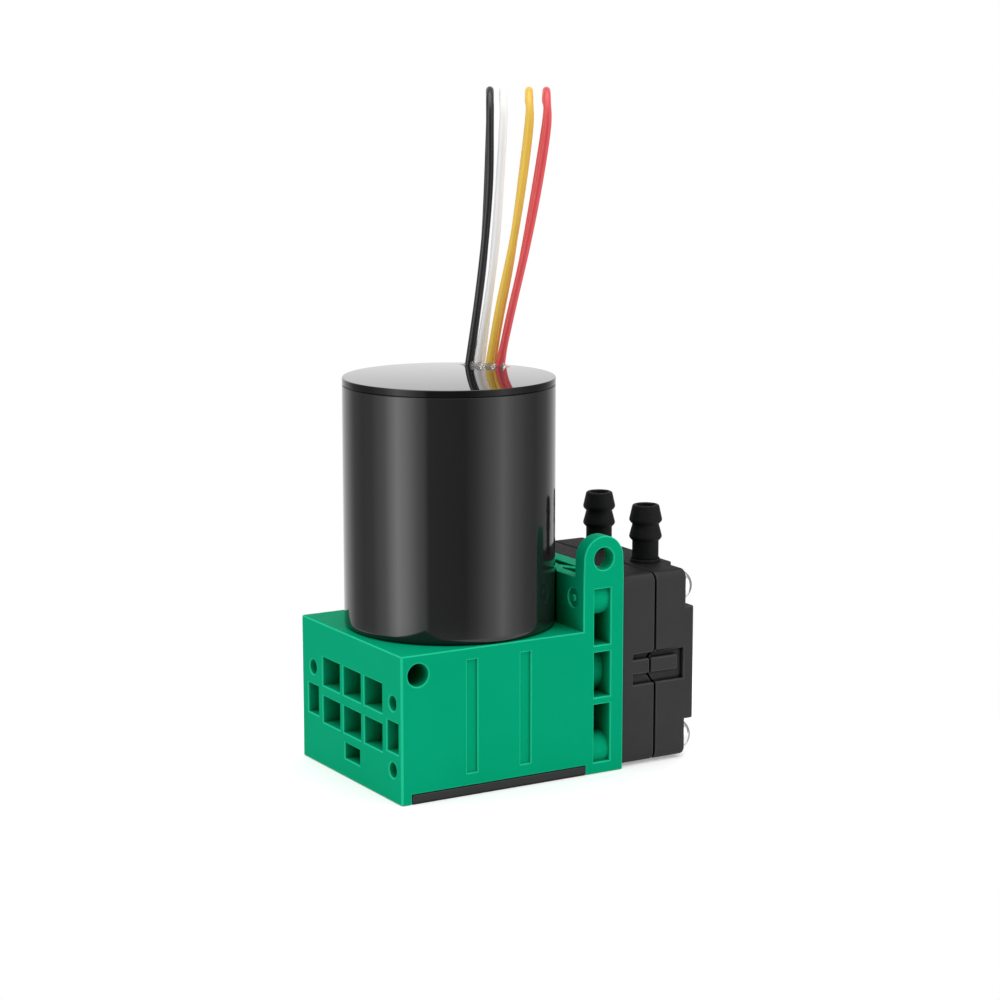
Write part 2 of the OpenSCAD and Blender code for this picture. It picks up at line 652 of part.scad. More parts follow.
// Hub with the counterweight's sector, shoulder and offset pin in one turned and milled piece
hub_r = 4.4;
clip_t = 0.5;
clip_low = 0.7;
pin_r = rod_bearing_bore / 2 - fit;
module crank_hub() color([0.7, 0.55, 0.3]) difference() {
    union() {
        translate([0, 0, hub_z]) {
            cylinder(r = hub_r, h = hub_h);
            intersection() {
                cylinder(r = weight_r, h = hub_h);
                linear_extrude(hub_h)
                    polygon([[-1, 0], [weight_r, -1.6 * weight_r], [weight_r, 1.6 * weight_r]]);
            }
        }
        translate([pin_x, 0, pin_top]) cylinder(r = pin_r + 0.7, h = shoulder_h);
        translate([pin_x, 0, pin_top - rod_bearing_w - clip_t - clip_low])
            cylinder(r = pin_r, h = rod_bearing_w + clip_t + clip_low);
    }
    translate([0, 0, shaft_end]) cylinder(r = shaft_r + fit, h = hub_top);
    translate([pin_x, 0, pin_top - rod_bearing_w - clip_t]) tube(pin_r - 0.5, pin_r + cut, clip_t);
    rotate(180) rod_x(shaft_r - 0.5, 0, hub_z + hub_h / 2, 0.8 + fit, 6);
}

module crank_set_screw() color(steel) rotate(180) difference() {
    rod_x(shaft_r + fit, 0, hub_z + hub_h / 2, 0.8, 2.6);
    translate([shaft_r + 1.6, 0, hub_z + hub_h / 2]) rotate([0, 90, 0]) cylinder(r = 0.4, h = 2, $fn = 6);
}

// Rod bearing: the inner ring rides on the crank pin, the outer ring and balls in the rod
race_t = (rod_bearing_d - rod_bearing_bore) / 2 * 0.3;
rod_ball_r = (rod_bearing_d - rod_bearing_bore) / 2 * 0.29;
rod_race_r = (rod_bearing_d + rod_bearing_bore) / 4;

module rod_race() {
    translate([0, 0, rod_bearing_w / 2]) rotate_extrude()
        translate([rod_race_r, 0]) circle(r = rod_ball_r + gap, $fn = 32);
}

module bearing_inner_ring() color(steel) translate([pin_x, 0, pin_top - rod_bearing_w]) difference() {
    tube(rod_bearing_bore / 2, rod_bearing_bore / 2 + race_t, rod_bearing_w);
    rod_race();
}

module bearing_clip() color(steel) translate([pin_x, 0, pin_top - rod_bearing_w - clip_t]) difference() {
    tube(pin_r - 0.5, pin_r + 0.7, clip_t);
    block([-pin_r - cut, -0.9, -cut], [0, 0.9, clip_t + cut]);
}

module bearing_outer_ring() color(steel) translate([pin_x, 0, pin_top - rod_bearing_w]) {
    difference() {
        tube(rod_bearing_d / 2 - race_t, rod_bearing_d / 2, rod_bearing_w);
        rod_race();
    }
    for (i = [0:8]) rotate(i * 40)
        translate([rod_race_r, 0, rod_bearing_w / 2]) sphere(r = rod_ball_r, $fn = 24);
}

// Rod: a ring round the bearing, a waisted arm and a round foot behind the diaphragm
module connecting_rod() color([0.85, 0.84, 0.8]) difference() {
    union() {
        translate([pin_x, 0, pin_top - rod_bearing_w]) cylinder(r = big_end_d / 2, h = rod_bearing_w);
        block([pin_x, -arm_w / 2, pump_z - arm_h / 2], [foot_x + 0.1, arm_w / 2, pump_z + arm_h / 2]);
        rod_x(foot_x, 0, pump_z, foot_d / 2, foot_t - gap);
        turn_x([[0, foot_x - 2.4], [arm_h / 2, foot_x - 2.4], [foot_d / 2 - 1.6, foot_x], [0, foot_x]]);
    }
    translate([pin_x, 0, pin_top - rod_bearing_w - cut])
        cylinder(r = rod_bearing_d / 2 + fit, h = rod_bearing_w + 2 * cut);
    for (s = [-1, 1]) translate([(big_end_d / 2 + foot_x) / 2 - 0.6, s * (arm_w / 2 + 3.1), pump_z - arm_h])
        cylinder(r = 3.9, h = 2 * arm_h);
    rod_x(foot_x - 4, 0, pump_z, 0.8, 8);
}

module diaphragm_clamp() color(steel) difference() {
    turn_x([[0, clamp_x + gap], [foot_d / 2 - 0.4, clamp_x + gap], [foot_d / 2, clamp_x + gap + 0.4],
            [foot_d / 2, clamp_x + clamp_t - 0.2], [foot_d / 2 - 0.5, clamp_x + clamp_t],
            [0, clamp_x + clamp_t]]);
    turn_x([[0, clamp_x - cut], [1.05, clamp_x - cut], [1.05, clamp_x + clamp_t - 0.8],
            [1.9, clamp_x + clamp_t + 0.05], [0, clamp_x + clamp_t + 0.05]]);
}

module clamp_screw() color(steel) difference() {
    turn_x([[0, foot_x - 3.4], [0.78, foot_x - 3.4], [0.78, clamp_x + clamp_t - 0.98],
            [1.75, clamp_x + clamp_t - 0.05], [0, clamp_x + clamp_t - 0.05]]);
    for (a = [0, 90]) translate([clamp_x + clamp_t, 0, pump_z]) rotate([a, 0, 0])
        block([-0.5, -0.8, -0.17], [cut, 0.8, 0.17]);
}

// Rubber diaphragm: flat centre behind the clamped rim, joined by a rolled convolution
roll_in = foot_d / 2 + 0.1;
roll_out = dia_bore / 2 - 0.1;

// Half round of the roll on one side, from the centre out: its ends lie on the faces at x0 and x1
function roll(x0, x1, r, depth) = [for (a = [0:30:180])
    [(roll_in + roll_out) / 2 - r * cos(a), (x0 + x1) / 2 - (x1 - x0) / 2 * cos(a) - depth * sin(a)]];
function backwards(points) = [for (i = [len(points) - 1:-1:0]) points[i]];

module diaphragm() color(rubber) {
    half = (roll_out - roll_in) / 2;
    turn_x(concat(
        [[1.05, clamp_x], [1.05, pad_x]],
        roll(pad_x, flange_x, half, 1.1),
        [[dia_d / 2, flange_x], [dia_d / 2, dia_seat]],
        backwards(roll(clamp_x, dia_seat, half * 0.75, 1.25))));
}

// Latch recess of the head's front and rear: a C round a flush tongue, across the seam
latch_low = pump_z - 2.05;
latch_high = pump_z + 2.1;
tongue_low = pump_z - 0.65;
tongue_high = pump_z + 1.35;
tongue_in = 0.65;                          // how far the cover's tongue reaches over the seam
latch_x0 = seam_x - 3.4;
latch_x1 = seam_x + 4.6;
tongue_x = seam_x + 3.6;

// Outline of the tongue where it crosses the seam, as [x, z], widening towards the cover
module tongue_side(play) {
    polygon([[seam_x + play, latch_high + 0.35 + play], [seam_x - tongue_in - play, tongue_high + play],
             [seam_x - tongue_in - play, tongue_low - 0.15 - play], [seam_x + play, latch_low - play],
             [cover_x + 1, latch_low - play], [cover_x + 1, latch_high + 0.35 + play]]);
}

module at_latches() {
    for (s = [0, 1]) mirror([0, s, 0]) translate([0, -head_w / 2, 0]) children();
}

module latch_cut() {
    at_latches() difference() {
        block([latch_x0, -cut, latch_low], [latch_x1, latch_depth, latch_high]);
        block([latch_x0 - cut, -2 * cut, tongue_low], [tongue_x, latch_depth + cut, tongue_high]);
    }
}

module latch_tongue(play) {
    at_latches() translate([0, latch_depth + 0.9 + play, 0]) rotate([90, 0, 0])
        linear_extrude(latch_depth + 0.9 + play) tongue_side(play);
}

port_r = 1.1;
sheet_back = seam_x - 0.35;                // the valve sheet lies in a recess of the valve plate
sheet_front = sheet_back + sheet_t;        // and in one of the head cover
sheet_w = 17.6;
sheet_h = 14;
flap_w = 5.6;
flap_h = 6.4;
flap_t = 0.5;
flap_play = 0.3;
valve_y = barb_y - 0.9;                    // middle of each valve, front to rear

// Left half of the head: rim seat and pump chamber to the flange, valve seats to the cover
module valve_plate() color(dark) difference() {
    plate_x(flange_x, plate_l, head_w, head_h, head_r);
    turn_x([[0, flange_x - cut], [dia_d / 2 + 0.05, flange_x - cut], [dia_d / 2 + 0.05, dia_seat],
            [dia_bore / 2, dia_seat], [foot_d / 2 + 0.6, dome_end], [0, dome_end]]);
    plate_x(sheet_back, cut, sheet_w, sheet_h, 1.5);
    // pocket that the intake flap swings into, and the ports behind both flaps
    block([sheet_back - 1.1, -valve_y - flap_w / 2 - flap_play, pump_z - flap_h / 2 - flap_play],
          [sheet_back + cut, -valve_y + flap_w / 2 + flap_play, pump_z + flap_h / 2 + flap_play]);
    for (z = [-1, 1]) rod_x(dome_end - cut, -valve_y + 1, pump_z + z * 1.4, 0.7, plate_l);
    rod_x(dome_end - cut, valve_y, pump_z, port_r, plate_l);
    at_screws() rod_x(flange_x - cut, 0, 0, screw_d / 2 + 0.1, plate_l + 2 * cut);
    latch_cut();
    difference() {
        latch_tongue(seam_gap);
        block([seam_x + seam_gap, -head_w, 0], [cover_x + 2, head_w, 2 * pump_z]);
    }
}

module valve_sheet() color(rubber) difference() {
    plate_x(sheet_back, sheet_t, sheet_w - 0.2, sheet_h - 0.2, 1.4);
    for (s = [-1, 1])
        block([sheet_back - cut, s * valve_y - flap_w / 2 - flap_play, pump_z - flap_h / 2 - flap_play],
              [sheet_front + cut, s * valve_y + flap_w / 2 + flap_play, pump_z + flap_h / 2 + flap_play]);
}

module intake_flap() color([0.3, 0.3, 0.3])
    block([sheet_front - gap - flap_t, -valve_y - flap_w / 2, pump_z - flap_h / 2],
          [sheet_front - gap, -valve_y + flap_w / 2, pump_z + flap_h / 2]);

module exhaust_flap() color([0.3, 0.3, 0.3])
    block([sheet_back + gap, valve_y - flap_w / 2, pump_z - flap_h / 2],
          [sheet_back + gap + flap_t, valve_y + flap_w / 2, pump_z + flap_h / 2]);

// Right half of the head, with the raised cross, the two chambers and both hose barbs
barb_x = cover_x + 3.2;
head_top = pump_z + head_h / 2;
room_x = barb_x + barb_bore / 2;           // far wall of the chambers

module barb_outside() {
    r = barb_neck / 2;
    tooth = barb_tooth / 2;
    rotate_extrude() polygon([
        [0, -0.5], [r + 0.28, -0.5], [r + 0.28, 0.3], [r, 0.6], [r, barb_h - 4.95], [tooth, barb_h - 4.46],
        [r, barb_h - 2.66], [tooth, barb_h - 2.16], [r, barb_h], [0, barb_h]]);
}

module head_cover() color(dark) difference() {
    union() {
        plate_x(cover_x, cover_l, head_w, head_h, head_r);
        intersection() {
            plate_x(corner_x, cross_h, head_w, head_h, head_r);
            union() {
                block([corner_x, -cross_w / 2, 0], [cross_x, cross_w / 2, 2 * head_top]);
                block([corner_x, -head_w / 2, pump_z - cross_z / 2],
                      [cross_x, head_w / 2, pump_z + cross_z / 2]);
            }
        }
        for (s = [-1, 1]) translate([barb_x, s * barb_y, head_top]) barb_outside();
        difference() {
            latch_tongue(0);
            block([cover_x + 0.5, -head_w, 0], [cover_x + 2, head_w, 2 * pump_z]);
        }
    }
    plate_x(cover_x - cut, cut + sheet_front - cover_x, sheet_w, sheet_h, 1.5);
    latch_cut();
    // intake: a seat with a port. Exhaust: an open chamber that its flap swings into
    rod_x(cover_x - cut, -valve_y, pump_z, port_r, room_x - cover_x + cut);
    block([cover_x - cut, valve_y - flap_w / 2 - flap_play, pump_z - flap_h / 2 - flap_play],
          [room_x, valve_y + flap_w / 2 + flap_play, pump_z + flap_h / 2 + flap_play]);
    for (s = [-1, 1]) translate([barb_x, s * barb_y, pump_z])
        cylinder(r = barb_bore / 2, h = head_h / 2 + barb_h + cut);
    at_screws() rod_x(cover_x - cut, 0, 0, screw_d / 2 + 0.1, cover_l + cross_h + 2 * cut);
}

// Domed screws with a cross slot, through both halves into the flange's bosses
cap_rim = 0.7;                             // straight edge under the dome
cap_h = screw_head_h - cap_rim;
cap_r = (pow(screw_head_d / 2, 2) + pow(cap_h, 2)) / (2 * cap_h);
cap_turn = asin(screw_head_d / 2 / cap_r); // half angle that the dome spans
module head_screws() color(steel) at_screws() difference() {
    translate([corner_x, 0, 0]) rotate([0, 90, 0]) rotate_extrude() polygon(concat(
        [[0, neck_x + 1.4 - corner_x], [screw_d / 2, neck_x + 1.4 - corner_x], [screw_d / 2, 0],
         [screw_head_d / 2, 0]],
        [for (i = [8:-1:0]) let (a = cap_turn * i / 8)
            [cap_r * sin(a), screw_head_h - cap_r + cap_r * cos(a)]]));
    translate([corner_x + screw_head_h, 0, 0]) for (a = [0, 90]) rotate([a, 0, 0])
        block([-0.9, -1.1, -0.2], [cut, 1.1, 0.2]);
}

// Ring of a swept lead at one route point, square to the route there
lead_sides = 8;
lead_ref = [0.7, -0.7, 0];
function unit(v) = v / norm(v);
function way(route, i) = unit(route[min(i + 1, len(route) - 1)] - route[max(i - 1, 0)]);
function ring(p, t, u) = [for (k = [0:lead_sides - 1])
    p + lead_d / 2 * (cos(k * 360 / lead_sides) * u + sin(k * 360 / lead_sides) * cross(t, u))];
function rings(route) = [for (i = [0:len(route) - 1])
    each ring(route[i], way(route, i), unit(cross(way(route, i), lead_ref)))];

module lead(route) {
    n = lead_sides;
    last = len(route) - 1;
    polyhedron(
        points = rings(route),
        faces = concat(
            [[for (k = [0:n - 1]) k]],
            [for (i = [0:last - 1], k = [0:n - 1])
                [i * n + k, (i + 1) * n + k, (i + 1) * n + (k + 1) % n, i * n + (k + 1) % n]],
            [[for (k = [n - 1:-1:0]) last * n + k]]));
}

module black_lead() color([0.08, 0.08, 0.08]) lead(black_route);

module white_lead() color([0.93, 0.93, 0.92]) lead(white_route);

module yellow_lead() color([0.93, 0.72, 0.15]) lead(yellow_route);

module red_lead() color([0.85, 0.15, 0.17]) lead(red_route);

// Four-way crimp housing on the ends of the leads, lying on the base plane behind the bracket
module lead_connector() color([0.93, 0.92, 0.88]) difference() {
    union() {
        block([con_x - con_l, con_y - con_w / 2, 0], [con_x, con_y + con_w / 2, con_h]);
        block([con_x - con_l + 1.2, con_y - 2, con_h], [con_x - 2, con_y + 2, con_h + 0.7]);
    }
    for (i = [-1.5:1.5]) {
        y = con_y + i * pin_pitch;
        block([con_x - con_l - cut, y - 0.55, con_z - 0.55], [con_x - 0.5, y + 0.55, con_z + 0.55]);
        block([con_x - con_l / 2, y - 0.4, con_z], [con_x - con_l / 2 + 1.6, y + 0.4, con_h + 2]);
    }
}

module connector_contacts() color(steel) for (i = [-1.5:1.5]) translate([0, con_y + i * pin_pitch, con_z])
    difference() {
        block([con_x - con_l + 0.4, -0.5, -0.5], [con_x - 0.5, 0.5, 0.5]);
        block([con_x - con_l, -0.3, -0.3], [con_x - con_l + socket_l, 0.3, 0.3]);
    }

pump_bracket();
bottom_cover();
motor_can();
motor_lid();
motor_end_bell();
stator_core();
stator_windings();
driver_board();
lower_bearing();
upper_bearing();
motor_screws();
lead_seal();
motor_shaft();
rotor_core();
rotor_magnet();
crank_hub();
crank_set_screw();
bearing_inner_ring();
bearing_clip();
connecting_rod();
bearing_outer_ring();
diaphragm_clamp();
clamp_screw();
diaphragm();
valve_plate();
valve_sheet();
intake_flap();
exhaust_flap();
head_cover();
head_screws();
black_lead();
white_lead();
yellow_lead();
red_lead();
lead_connector();
connector_contacts();
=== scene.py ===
"""Looks of a small diaphragm vacuum pump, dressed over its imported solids.

Every place is in metres in the solids' own frame: the motor stands along +Z, the pump head is at +X and
the side with the two grooves at -Y. Small sizes are written in millimetres and multiplied by mm.

The can, the lid, the sealant and the leads are new meshes. The mouldings, the head's screws and the
connector are softened copies of their solids. All other pieces are inside and keep their solid's shape.
"""
import json
import math

import bmesh
import bpy
import numpy as np
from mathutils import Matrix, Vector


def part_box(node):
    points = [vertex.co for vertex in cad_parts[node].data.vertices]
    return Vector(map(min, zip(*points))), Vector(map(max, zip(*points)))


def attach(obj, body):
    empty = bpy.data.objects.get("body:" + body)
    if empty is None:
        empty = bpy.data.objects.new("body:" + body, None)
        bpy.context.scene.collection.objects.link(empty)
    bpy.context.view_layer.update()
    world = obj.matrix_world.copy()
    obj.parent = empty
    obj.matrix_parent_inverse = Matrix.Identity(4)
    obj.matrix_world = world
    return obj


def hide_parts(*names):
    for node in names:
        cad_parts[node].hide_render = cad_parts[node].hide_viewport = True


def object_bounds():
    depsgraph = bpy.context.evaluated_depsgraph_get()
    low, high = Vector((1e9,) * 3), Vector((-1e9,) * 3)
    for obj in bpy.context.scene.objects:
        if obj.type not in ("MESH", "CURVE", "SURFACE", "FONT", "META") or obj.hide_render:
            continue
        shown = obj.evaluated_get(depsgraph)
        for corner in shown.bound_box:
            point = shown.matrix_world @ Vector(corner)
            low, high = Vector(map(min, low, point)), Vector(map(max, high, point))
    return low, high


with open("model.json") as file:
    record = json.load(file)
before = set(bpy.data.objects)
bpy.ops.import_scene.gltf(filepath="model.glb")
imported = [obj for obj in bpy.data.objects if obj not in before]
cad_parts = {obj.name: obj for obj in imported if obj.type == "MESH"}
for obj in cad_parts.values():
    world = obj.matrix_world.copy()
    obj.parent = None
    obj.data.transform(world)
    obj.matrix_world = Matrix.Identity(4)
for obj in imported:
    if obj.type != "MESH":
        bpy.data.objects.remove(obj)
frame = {"nodes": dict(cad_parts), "record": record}
nodes = frame["nodes"]
cad_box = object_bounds()
mm = 0.001

# Camera: the photograph's viewing point, turned from +Y towards +X and tilted down, in radians
CAMERA_PLACE = (-0.167065, -0.294341, 0.097934)
CAMERA_YAW = 0.536
CAMERA_PITCH = -0.181
CAMERA_LENS = 93.9
CAMERA_SENSOR = 36
CAMERA_CLIP = 0.01       # nearest distance that it sees

# Leads: diameter over the insulation, free length, and the points that each one follows, in millimetres
LEAD_D = 1.06 * mm
LEAD_SIDES = 20
LEAD_STEPS = 14          # points on the smooth curve between two route points
LEAD_FOOT = 52.49 * mm   # height on the lid where each lead starts, under the sealant
LEAD_LEVEL = (0.7, -0.7, 0.0)        # a level line that no lead runs along
LEAD_ROUTES = {
    "black": [
        (8, 8.5, 53), (8.2, 8.4, 54.5), (9, 7.9, 61), (9.8, 7.4, 69), (10.4, 7.2, 77),
        (10.5, 7.2, 84.3), (11.2, 8.4, 87.7), (12.9, 11.3, 89), (14.6, 14.2, 87.7), (15.3, 15.4, 84.3),
        (14.5, 15.6, 67), (13, 16.6, 52), (13.4, 20, 34), (14, 23.5, 16), (14.2, 24, 7),
        (13, 24, 2.6), (10, 24, 0.8), (6.5, 24, 0.8), (4, 24, 2.2), (2, 24, 2.2)],
    "white": [
        (8.8, 7.55, 53), (9, 7.45, 54.5), (9.95, 6.85, 61), (10.8, 6.2, 69), (11.3, 5.9, 77),
        (11.7, 5.7, 84.3), (12.4, 6.9, 87.7), (14.1, 9.8, 89), (15.8, 12.7, 87.7), (16.5, 13.9, 84.3),
        (15.4, 14.4, 67), (14, 15.4, 52), (14.2, 18.5, 34), (15, 21.6, 16), (15.2, 22, 7),
        (14, 22, 2.6), (11, 22, 0.8), (6.5, 22, 0.8), (4, 22, 2.2), (2, 22, 2.2)],
    "yellow": [
        (9.8, 6.1, 53), (10, 6, 54.5), (11, 5.4, 61), (12.5, 4.6, 69), (13.6, 3.9, 77),
        (14.4, 3.5, 84.3), (15.1, 4.7, 87.7), (16.8, 7.6, 89), (18.5, 10.5, 87.7), (19.2, 11.7, 84.3),
        (17.35, 12.9, 67), (15.25, 14.4, 52), (15.3, 17, 34), (16, 19.7, 16), (16.2, 20, 7),
        (15, 20, 2.6), (12, 20, 0.8), (6.5, 20, 0.8), (4, 20, 2.2), (2, 20, 2.2)],
    "red": [
        (10.7, 5, 53), (11, 4.8, 54.5), (12.2, 4, 61), (13.8, 3.1, 69), (15.2, 2.4, 77),
        (16.1, 1.8, 84.3), (16.8, 3, 87.7), (18.5, 5.9, 89), (20.2, 8.8, 87.7), (20.9, 10, 84.3),
        (18.4, 11.4, 67), (15.9, 13.2, 52), (16.5, 16, 34), (17, 17.8, 16), (17.2, 18, 7),
        (16, 18, 2.6), (13, 18, 0.8), (6.5, 18, 0.8), (4, 18, 2.2), (2, 18, 2.2)],
}

# Edge softness of the moulded and milled pieces
BRACKET_EDGE = 0.19 * mm
HEAD_EDGE = 0.24 * mm
COVER_EDGE = 0.15 * mm
SCREW_EDGE = 0.07 * mm
CONNECTOR_EDGE = 0.12 * mm
EDGE_SEGMENTS = 4
CORNER_SHARE = 1.7       # how much softer the upright corners of the bracket's end face are
CORNER_HEIGHT = 15 * mm  # an upright edge over this height is such a corner
ON_LINE = 0.01 * mm      # how far an edge's end may lie from a line that it is on
HEAD_JOINT = 0.1 * mm    # gap that shows between the head's halves

# Degrees between two faces: up to FLAT_TURN they are one face, from EDGE_TURN their edge is rounded, and
# from SHARP_TURN an edge is shaded as a sharp one
FLAT_TURN = 0.5
EDGE_TURN = 28
SHARP_TURN = 35

# Points nearer to each other than this are one point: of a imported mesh, and of a new one
PACKED_MERGE = 2e-6
NEW_MERGE = 1e-7

# Motor shells
TURN_STEPS = 192         # faces round a turned piece
CAN_WALL = 0.8 * mm
CAN_FLOOR = 1.0 * mm
CAN_ROUND = 0.9 * mm
PILOT_R = 4.5 * mm       # boss under the can's floor
CUP_WALL = 1.1 * mm      # wall round the lower bearing
CUP_LIP = 1.2 * mm       # how far the lip under that bearing reaches in
SEAT_GAP = 0.02 * mm
GROOVE_DEPTH = 0.3 * mm  # shadow groove between the can and the lid's disc
GROOVE_HEIGHT = 0.1 * mm
GROOVE_FLARE = 0.04 * mm             # how much higher the groove is at its mouth

# Softness of the shells' corners
OUTLINE_STEPS = 7        # points on each one
LID_EDGE = 0.16 * mm
GROOVE_EDGE = 0.04 * mm
SEAT_EDGE = 0.05 * mm
SHELL_EDGE = 0.1 * mm
FLOOR_EDGE = 0.2 * mm

# Sealant round the leads: a low bead that climbs each lead
SEAL_HALF_LENGTH = 4.05 * mm
SEAL_HALF_WIDTH = 0.85 * mm
SEAL_BACK = 0.15 * mm    # how far the bead lies behind the row of leads
SEAL_BEAD = 0.13 * mm    # height of the bead in its middle
SEAL_CLIMB = 0.42 * mm   # how much higher it stands at a lead
SEAL_REACH = 0.16 * mm   # distance from a lead over which the climb falls to about a third
SEAL_POINTED = 1.3       # over 1 the oval's ends are pointed
SEAL_WAVES = [(3, 0.05, 1), (7, 0.035, 2), (13, 0.02, 0)]    # round the rim: count, share of it, phase
SEAL_RIM = 0.12          # part of the way in from the rim over which the climb sets in
SEAL_SINK = 0.05 * mm    # how far the rim goes on down into the lid
SEAL_RINGS = 56
SEAL_STEPS = 288

# Finishes
PATCH_RANGE = (0.3, 0.7)             # nearly all of a noise pattern lies between these values
SHADE_SAMPLES = 8
HEAD_TOP = 25.8 * mm     # painted shade: the head's top and barbs are painted darker from this height on
HEAD_TOP_FULL = 26 * mm
PLASTIC_GRAIN = 0.3 * mm
PLASTIC_RELIEF = 0.003 * mm
METAL_RELIEF = 0.01      # depth as a share of the grain
METAL_SHADE = 0.86       # brightness of a metal's darker patches
LID_FACE = 0.1 * mm      # the lid's full gloss sets in at this depth under its top
LID_FACE_FULL = 0.02 * mm            # and is whole from this one on

# Light levels round the pump, by the angle from the camera's side, positive to its right. 1 is white.
# LOW_GLOSS and HIGH_GLOSS are what gloss mirrors at low and high directions: two tall soft lights at the
# left and right, the dark room behind the camera, and the white backdrop, which ends above. SOFT is the
# light that rough surfaces get.
LIGHT_PEAK = 4.0
LOW_GLOSS = [
    (-180, 1.0), (-155, 1.0), (-137, 0.8), (-122, 0.4), (-105, 0.34), (-90, 0.5), (-72, 1.35), (-56, 3.7),
    (-46, 2.9), (-32, 1.3), (-26, 0.95), (-21, 0.3), (18, 0.2), (30, 0.48), (50, 1.38), (61, 2.1), (74, 1.2),
    (92, 0.52), (106, 0.3), (128, 0.42), (150, 0.85), (180, 1.0)]
HIGH_GLOSS = [
    (-180, 0.2), (-155, 0.25), (-130, 0.3), (-105, 0.3), (-90, 0.5), (-72, 1.35), (-56, 3.7), (-46, 2.9),
    (-32, 1.3), (-26, 0.95), (-21, 0.3), (18, 0.2), (30, 0.48), (50, 1.38), (61, 2.1), (74, 1.2),
    (92, 0.52), (106, 0.3), (128, 0.3), (150, 0.25), (180, 0.2)]
SOFT = [
    (-180, 0.8), (-130, 0.9), (-100, 1.3), (-76, 1.45), (-57, 1.1), (-38, 0.55), (0, 0.42), (28, 0.6),
    (50, 1.2), (75, 1.7), (100, 1.35), (130, 0.9), (180, 0.8)]
HIGH_STARTS = 0.36       # height part of a direction at which HIGH_GLOSS sets in
HIGH_FULL = 0.5
OVERHEAD_STARTS = 0.78   # height part at which the overhead soft light sets in
OVERHEAD_FULL = 0.86
OVERHEAD_GLOSS = 2.8
OVERHEAD_SOFT = 1.4
WHITE = (1, 1, 1, 1)

# Lamp high over the camera, pointed at the pump
LAMP_PLACE = (-0.15, -0.25, 0.55)
LAMP_AIM = (0, 0, 0.03)
LAMP_SIDE = 0.4
LAMP_POWER = 0.5

# The floor: whole up to the radius FLOOR_FULL, and gone from FLOOR_FADE on
FLOOR_FULL = 0.048
FLOOR_FADE = 0.085
FLOOR_RADII = (0, 0.04, 0.08, 0.0867)
FLOOR_STEPS = 96
FLOOR_DROP = 0.02 * mm   # how far it lies under the pump
FLOOR_COLOUR = (0.86, 0.86, 0.86, 1)
FLOOR_GLOW = 0.3         # its own light, to the eye and in mirrors: what it lacks to the room's white


def place_camera():
    """Sets up the photograph's camera."""
    camera = bpy.data.objects.new("camera", bpy.data.cameras.new("camera"))
    camera.location = CAMERA_PLACE
    camera.rotation_euler = (math.pi / 2 + CAMERA_PITCH, 0, -CAMERA_YAW)
    camera.data.lens = CAMERA_LENS
    camera.data.sensor_width = CAMERA_SENSOR
    camera.data.clip_start = CAMERA_CLIP
    bpy.context.scene.collection.objects.link(camera)
    bpy.context.scene.camera = camera


def rings_piece(name, rings, looped=False, capped=False):
    """A mesh from rings of points rings[i, j]. Each face joins point j to the next one round the ring and to
    the same two on the next ring. looped joins the last ring to the first, capped closes both end rings
    with one flat face each. Points that fall together, as at a pole, are merged."""
    count, around = rings.shape[:2]
    along = np.arange(count if looped else count - 1)
    i, j = np.meshgrid(along, np.arange(around), indexing="ij")
    k = (j + 1) % around
    n = (i + 1) % count
    quads = np.stack([i * around + j, i * around + k, n * around + k, n * around + j], axis=-1)
    faces = quads.reshape(-1, 4).tolist()
    if capped:
        faces.append(np.arange(around)[::-1].tolist())
        faces.append((np.arange(around) + (count - 1) * around).tolist())
    mesh = bpy.data.meshes.new(name)
    mesh.from_pydata(rings.reshape(-1, 3), [], faces)
    work = bmesh.new()
    work.from_mesh(mesh)
    bmesh.ops.remove_doubles(work, verts=work.verts, dist=NEW_MERGE)
    work.to_mesh(mesh)
    work.free()
    mesh.shade_smooth()
    mesh.set_sharp_from_angle(angle=math.radians(SHARP_TURN))
    piece = bpy.data.objects.new(name, mesh)
    bpy.context.scene.collection.objects.link(piece)
    return piece


def smooth_curve(points, steps):
    """Points on the Catmull-Rom curve through the given points. Each span is the cubic from b to c whose
    slope at b is half the line from a to c, and at c half the line from b to d, where a and d are the
    neighbours. The end spans use the first and last line carried on."""
    line = np.vstack([2 * points[0] - points[1], points, 2 * points[-1] - points[-2]])
    a, b, c, d = (line[i:i + len(points) - 1, None] for i in range(4))
    t = np.linspace(0, 1, steps, endpoint=False)[None, :, None]
    spans = b + (t * (c - a) + t**2 * (2 * a - 5 * b + 4 * c - d) + t**3 * (3 * b - a - 3 * c + d)) / 2
    return np.vstack([spans.reshape(-1, 3), points[-1:]])


def swept_rings(path, radius, sides):
    """Circles along a path. The one at each point is square to the path there: its points are
    radius (u cos v + w sin v), with u square to the path and to one level line, and w square to both."""
    along = np.gradient(path, axis=0)
    along /= np.linalg.norm(along, axis=1, keepdims=True)
    u = np.cross(along, LEAD_LEVEL)
    u /= np.linalg.norm(u, axis=1, keepdims=True)
    w = np.cross(along, u)
    v = np.linspace(0, 2 * np.pi, sides, endpoint=False)[None, :, None]
    return path[:, None] + radius * (u[:, None] * np.cos(v) + w[:, None] * np.sin(v))


def softened_outline(corners):
    """A closed outline from corners (x, y, softness). Each corner is cut back along both of its sides by its
    softness, and a parabola that starts and ends along the sides joins the cuts."""
    corners = np.array(corners, float)
    place, soft = corners[:, :2], corners[:, 2:]
    before = np.roll(place, 1, axis=0) - place
    after = np.roll(place, -1, axis=0) - place
    start = place + soft * before / np.linalg.norm(before, axis=1, keepdims=True)
    end = place + soft * after / np.linalg.norm(after, axis=1, keepdims=True)
    t = np.linspace(0, 1, OUTLINE_STEPS)[None, :, None]
    curve = (1 - t)**2 * start[:, None] + 2 * t * (1 - t) * place[:, None] + t**2 * end[:, None]
    return curve.reshape(-1, 2)


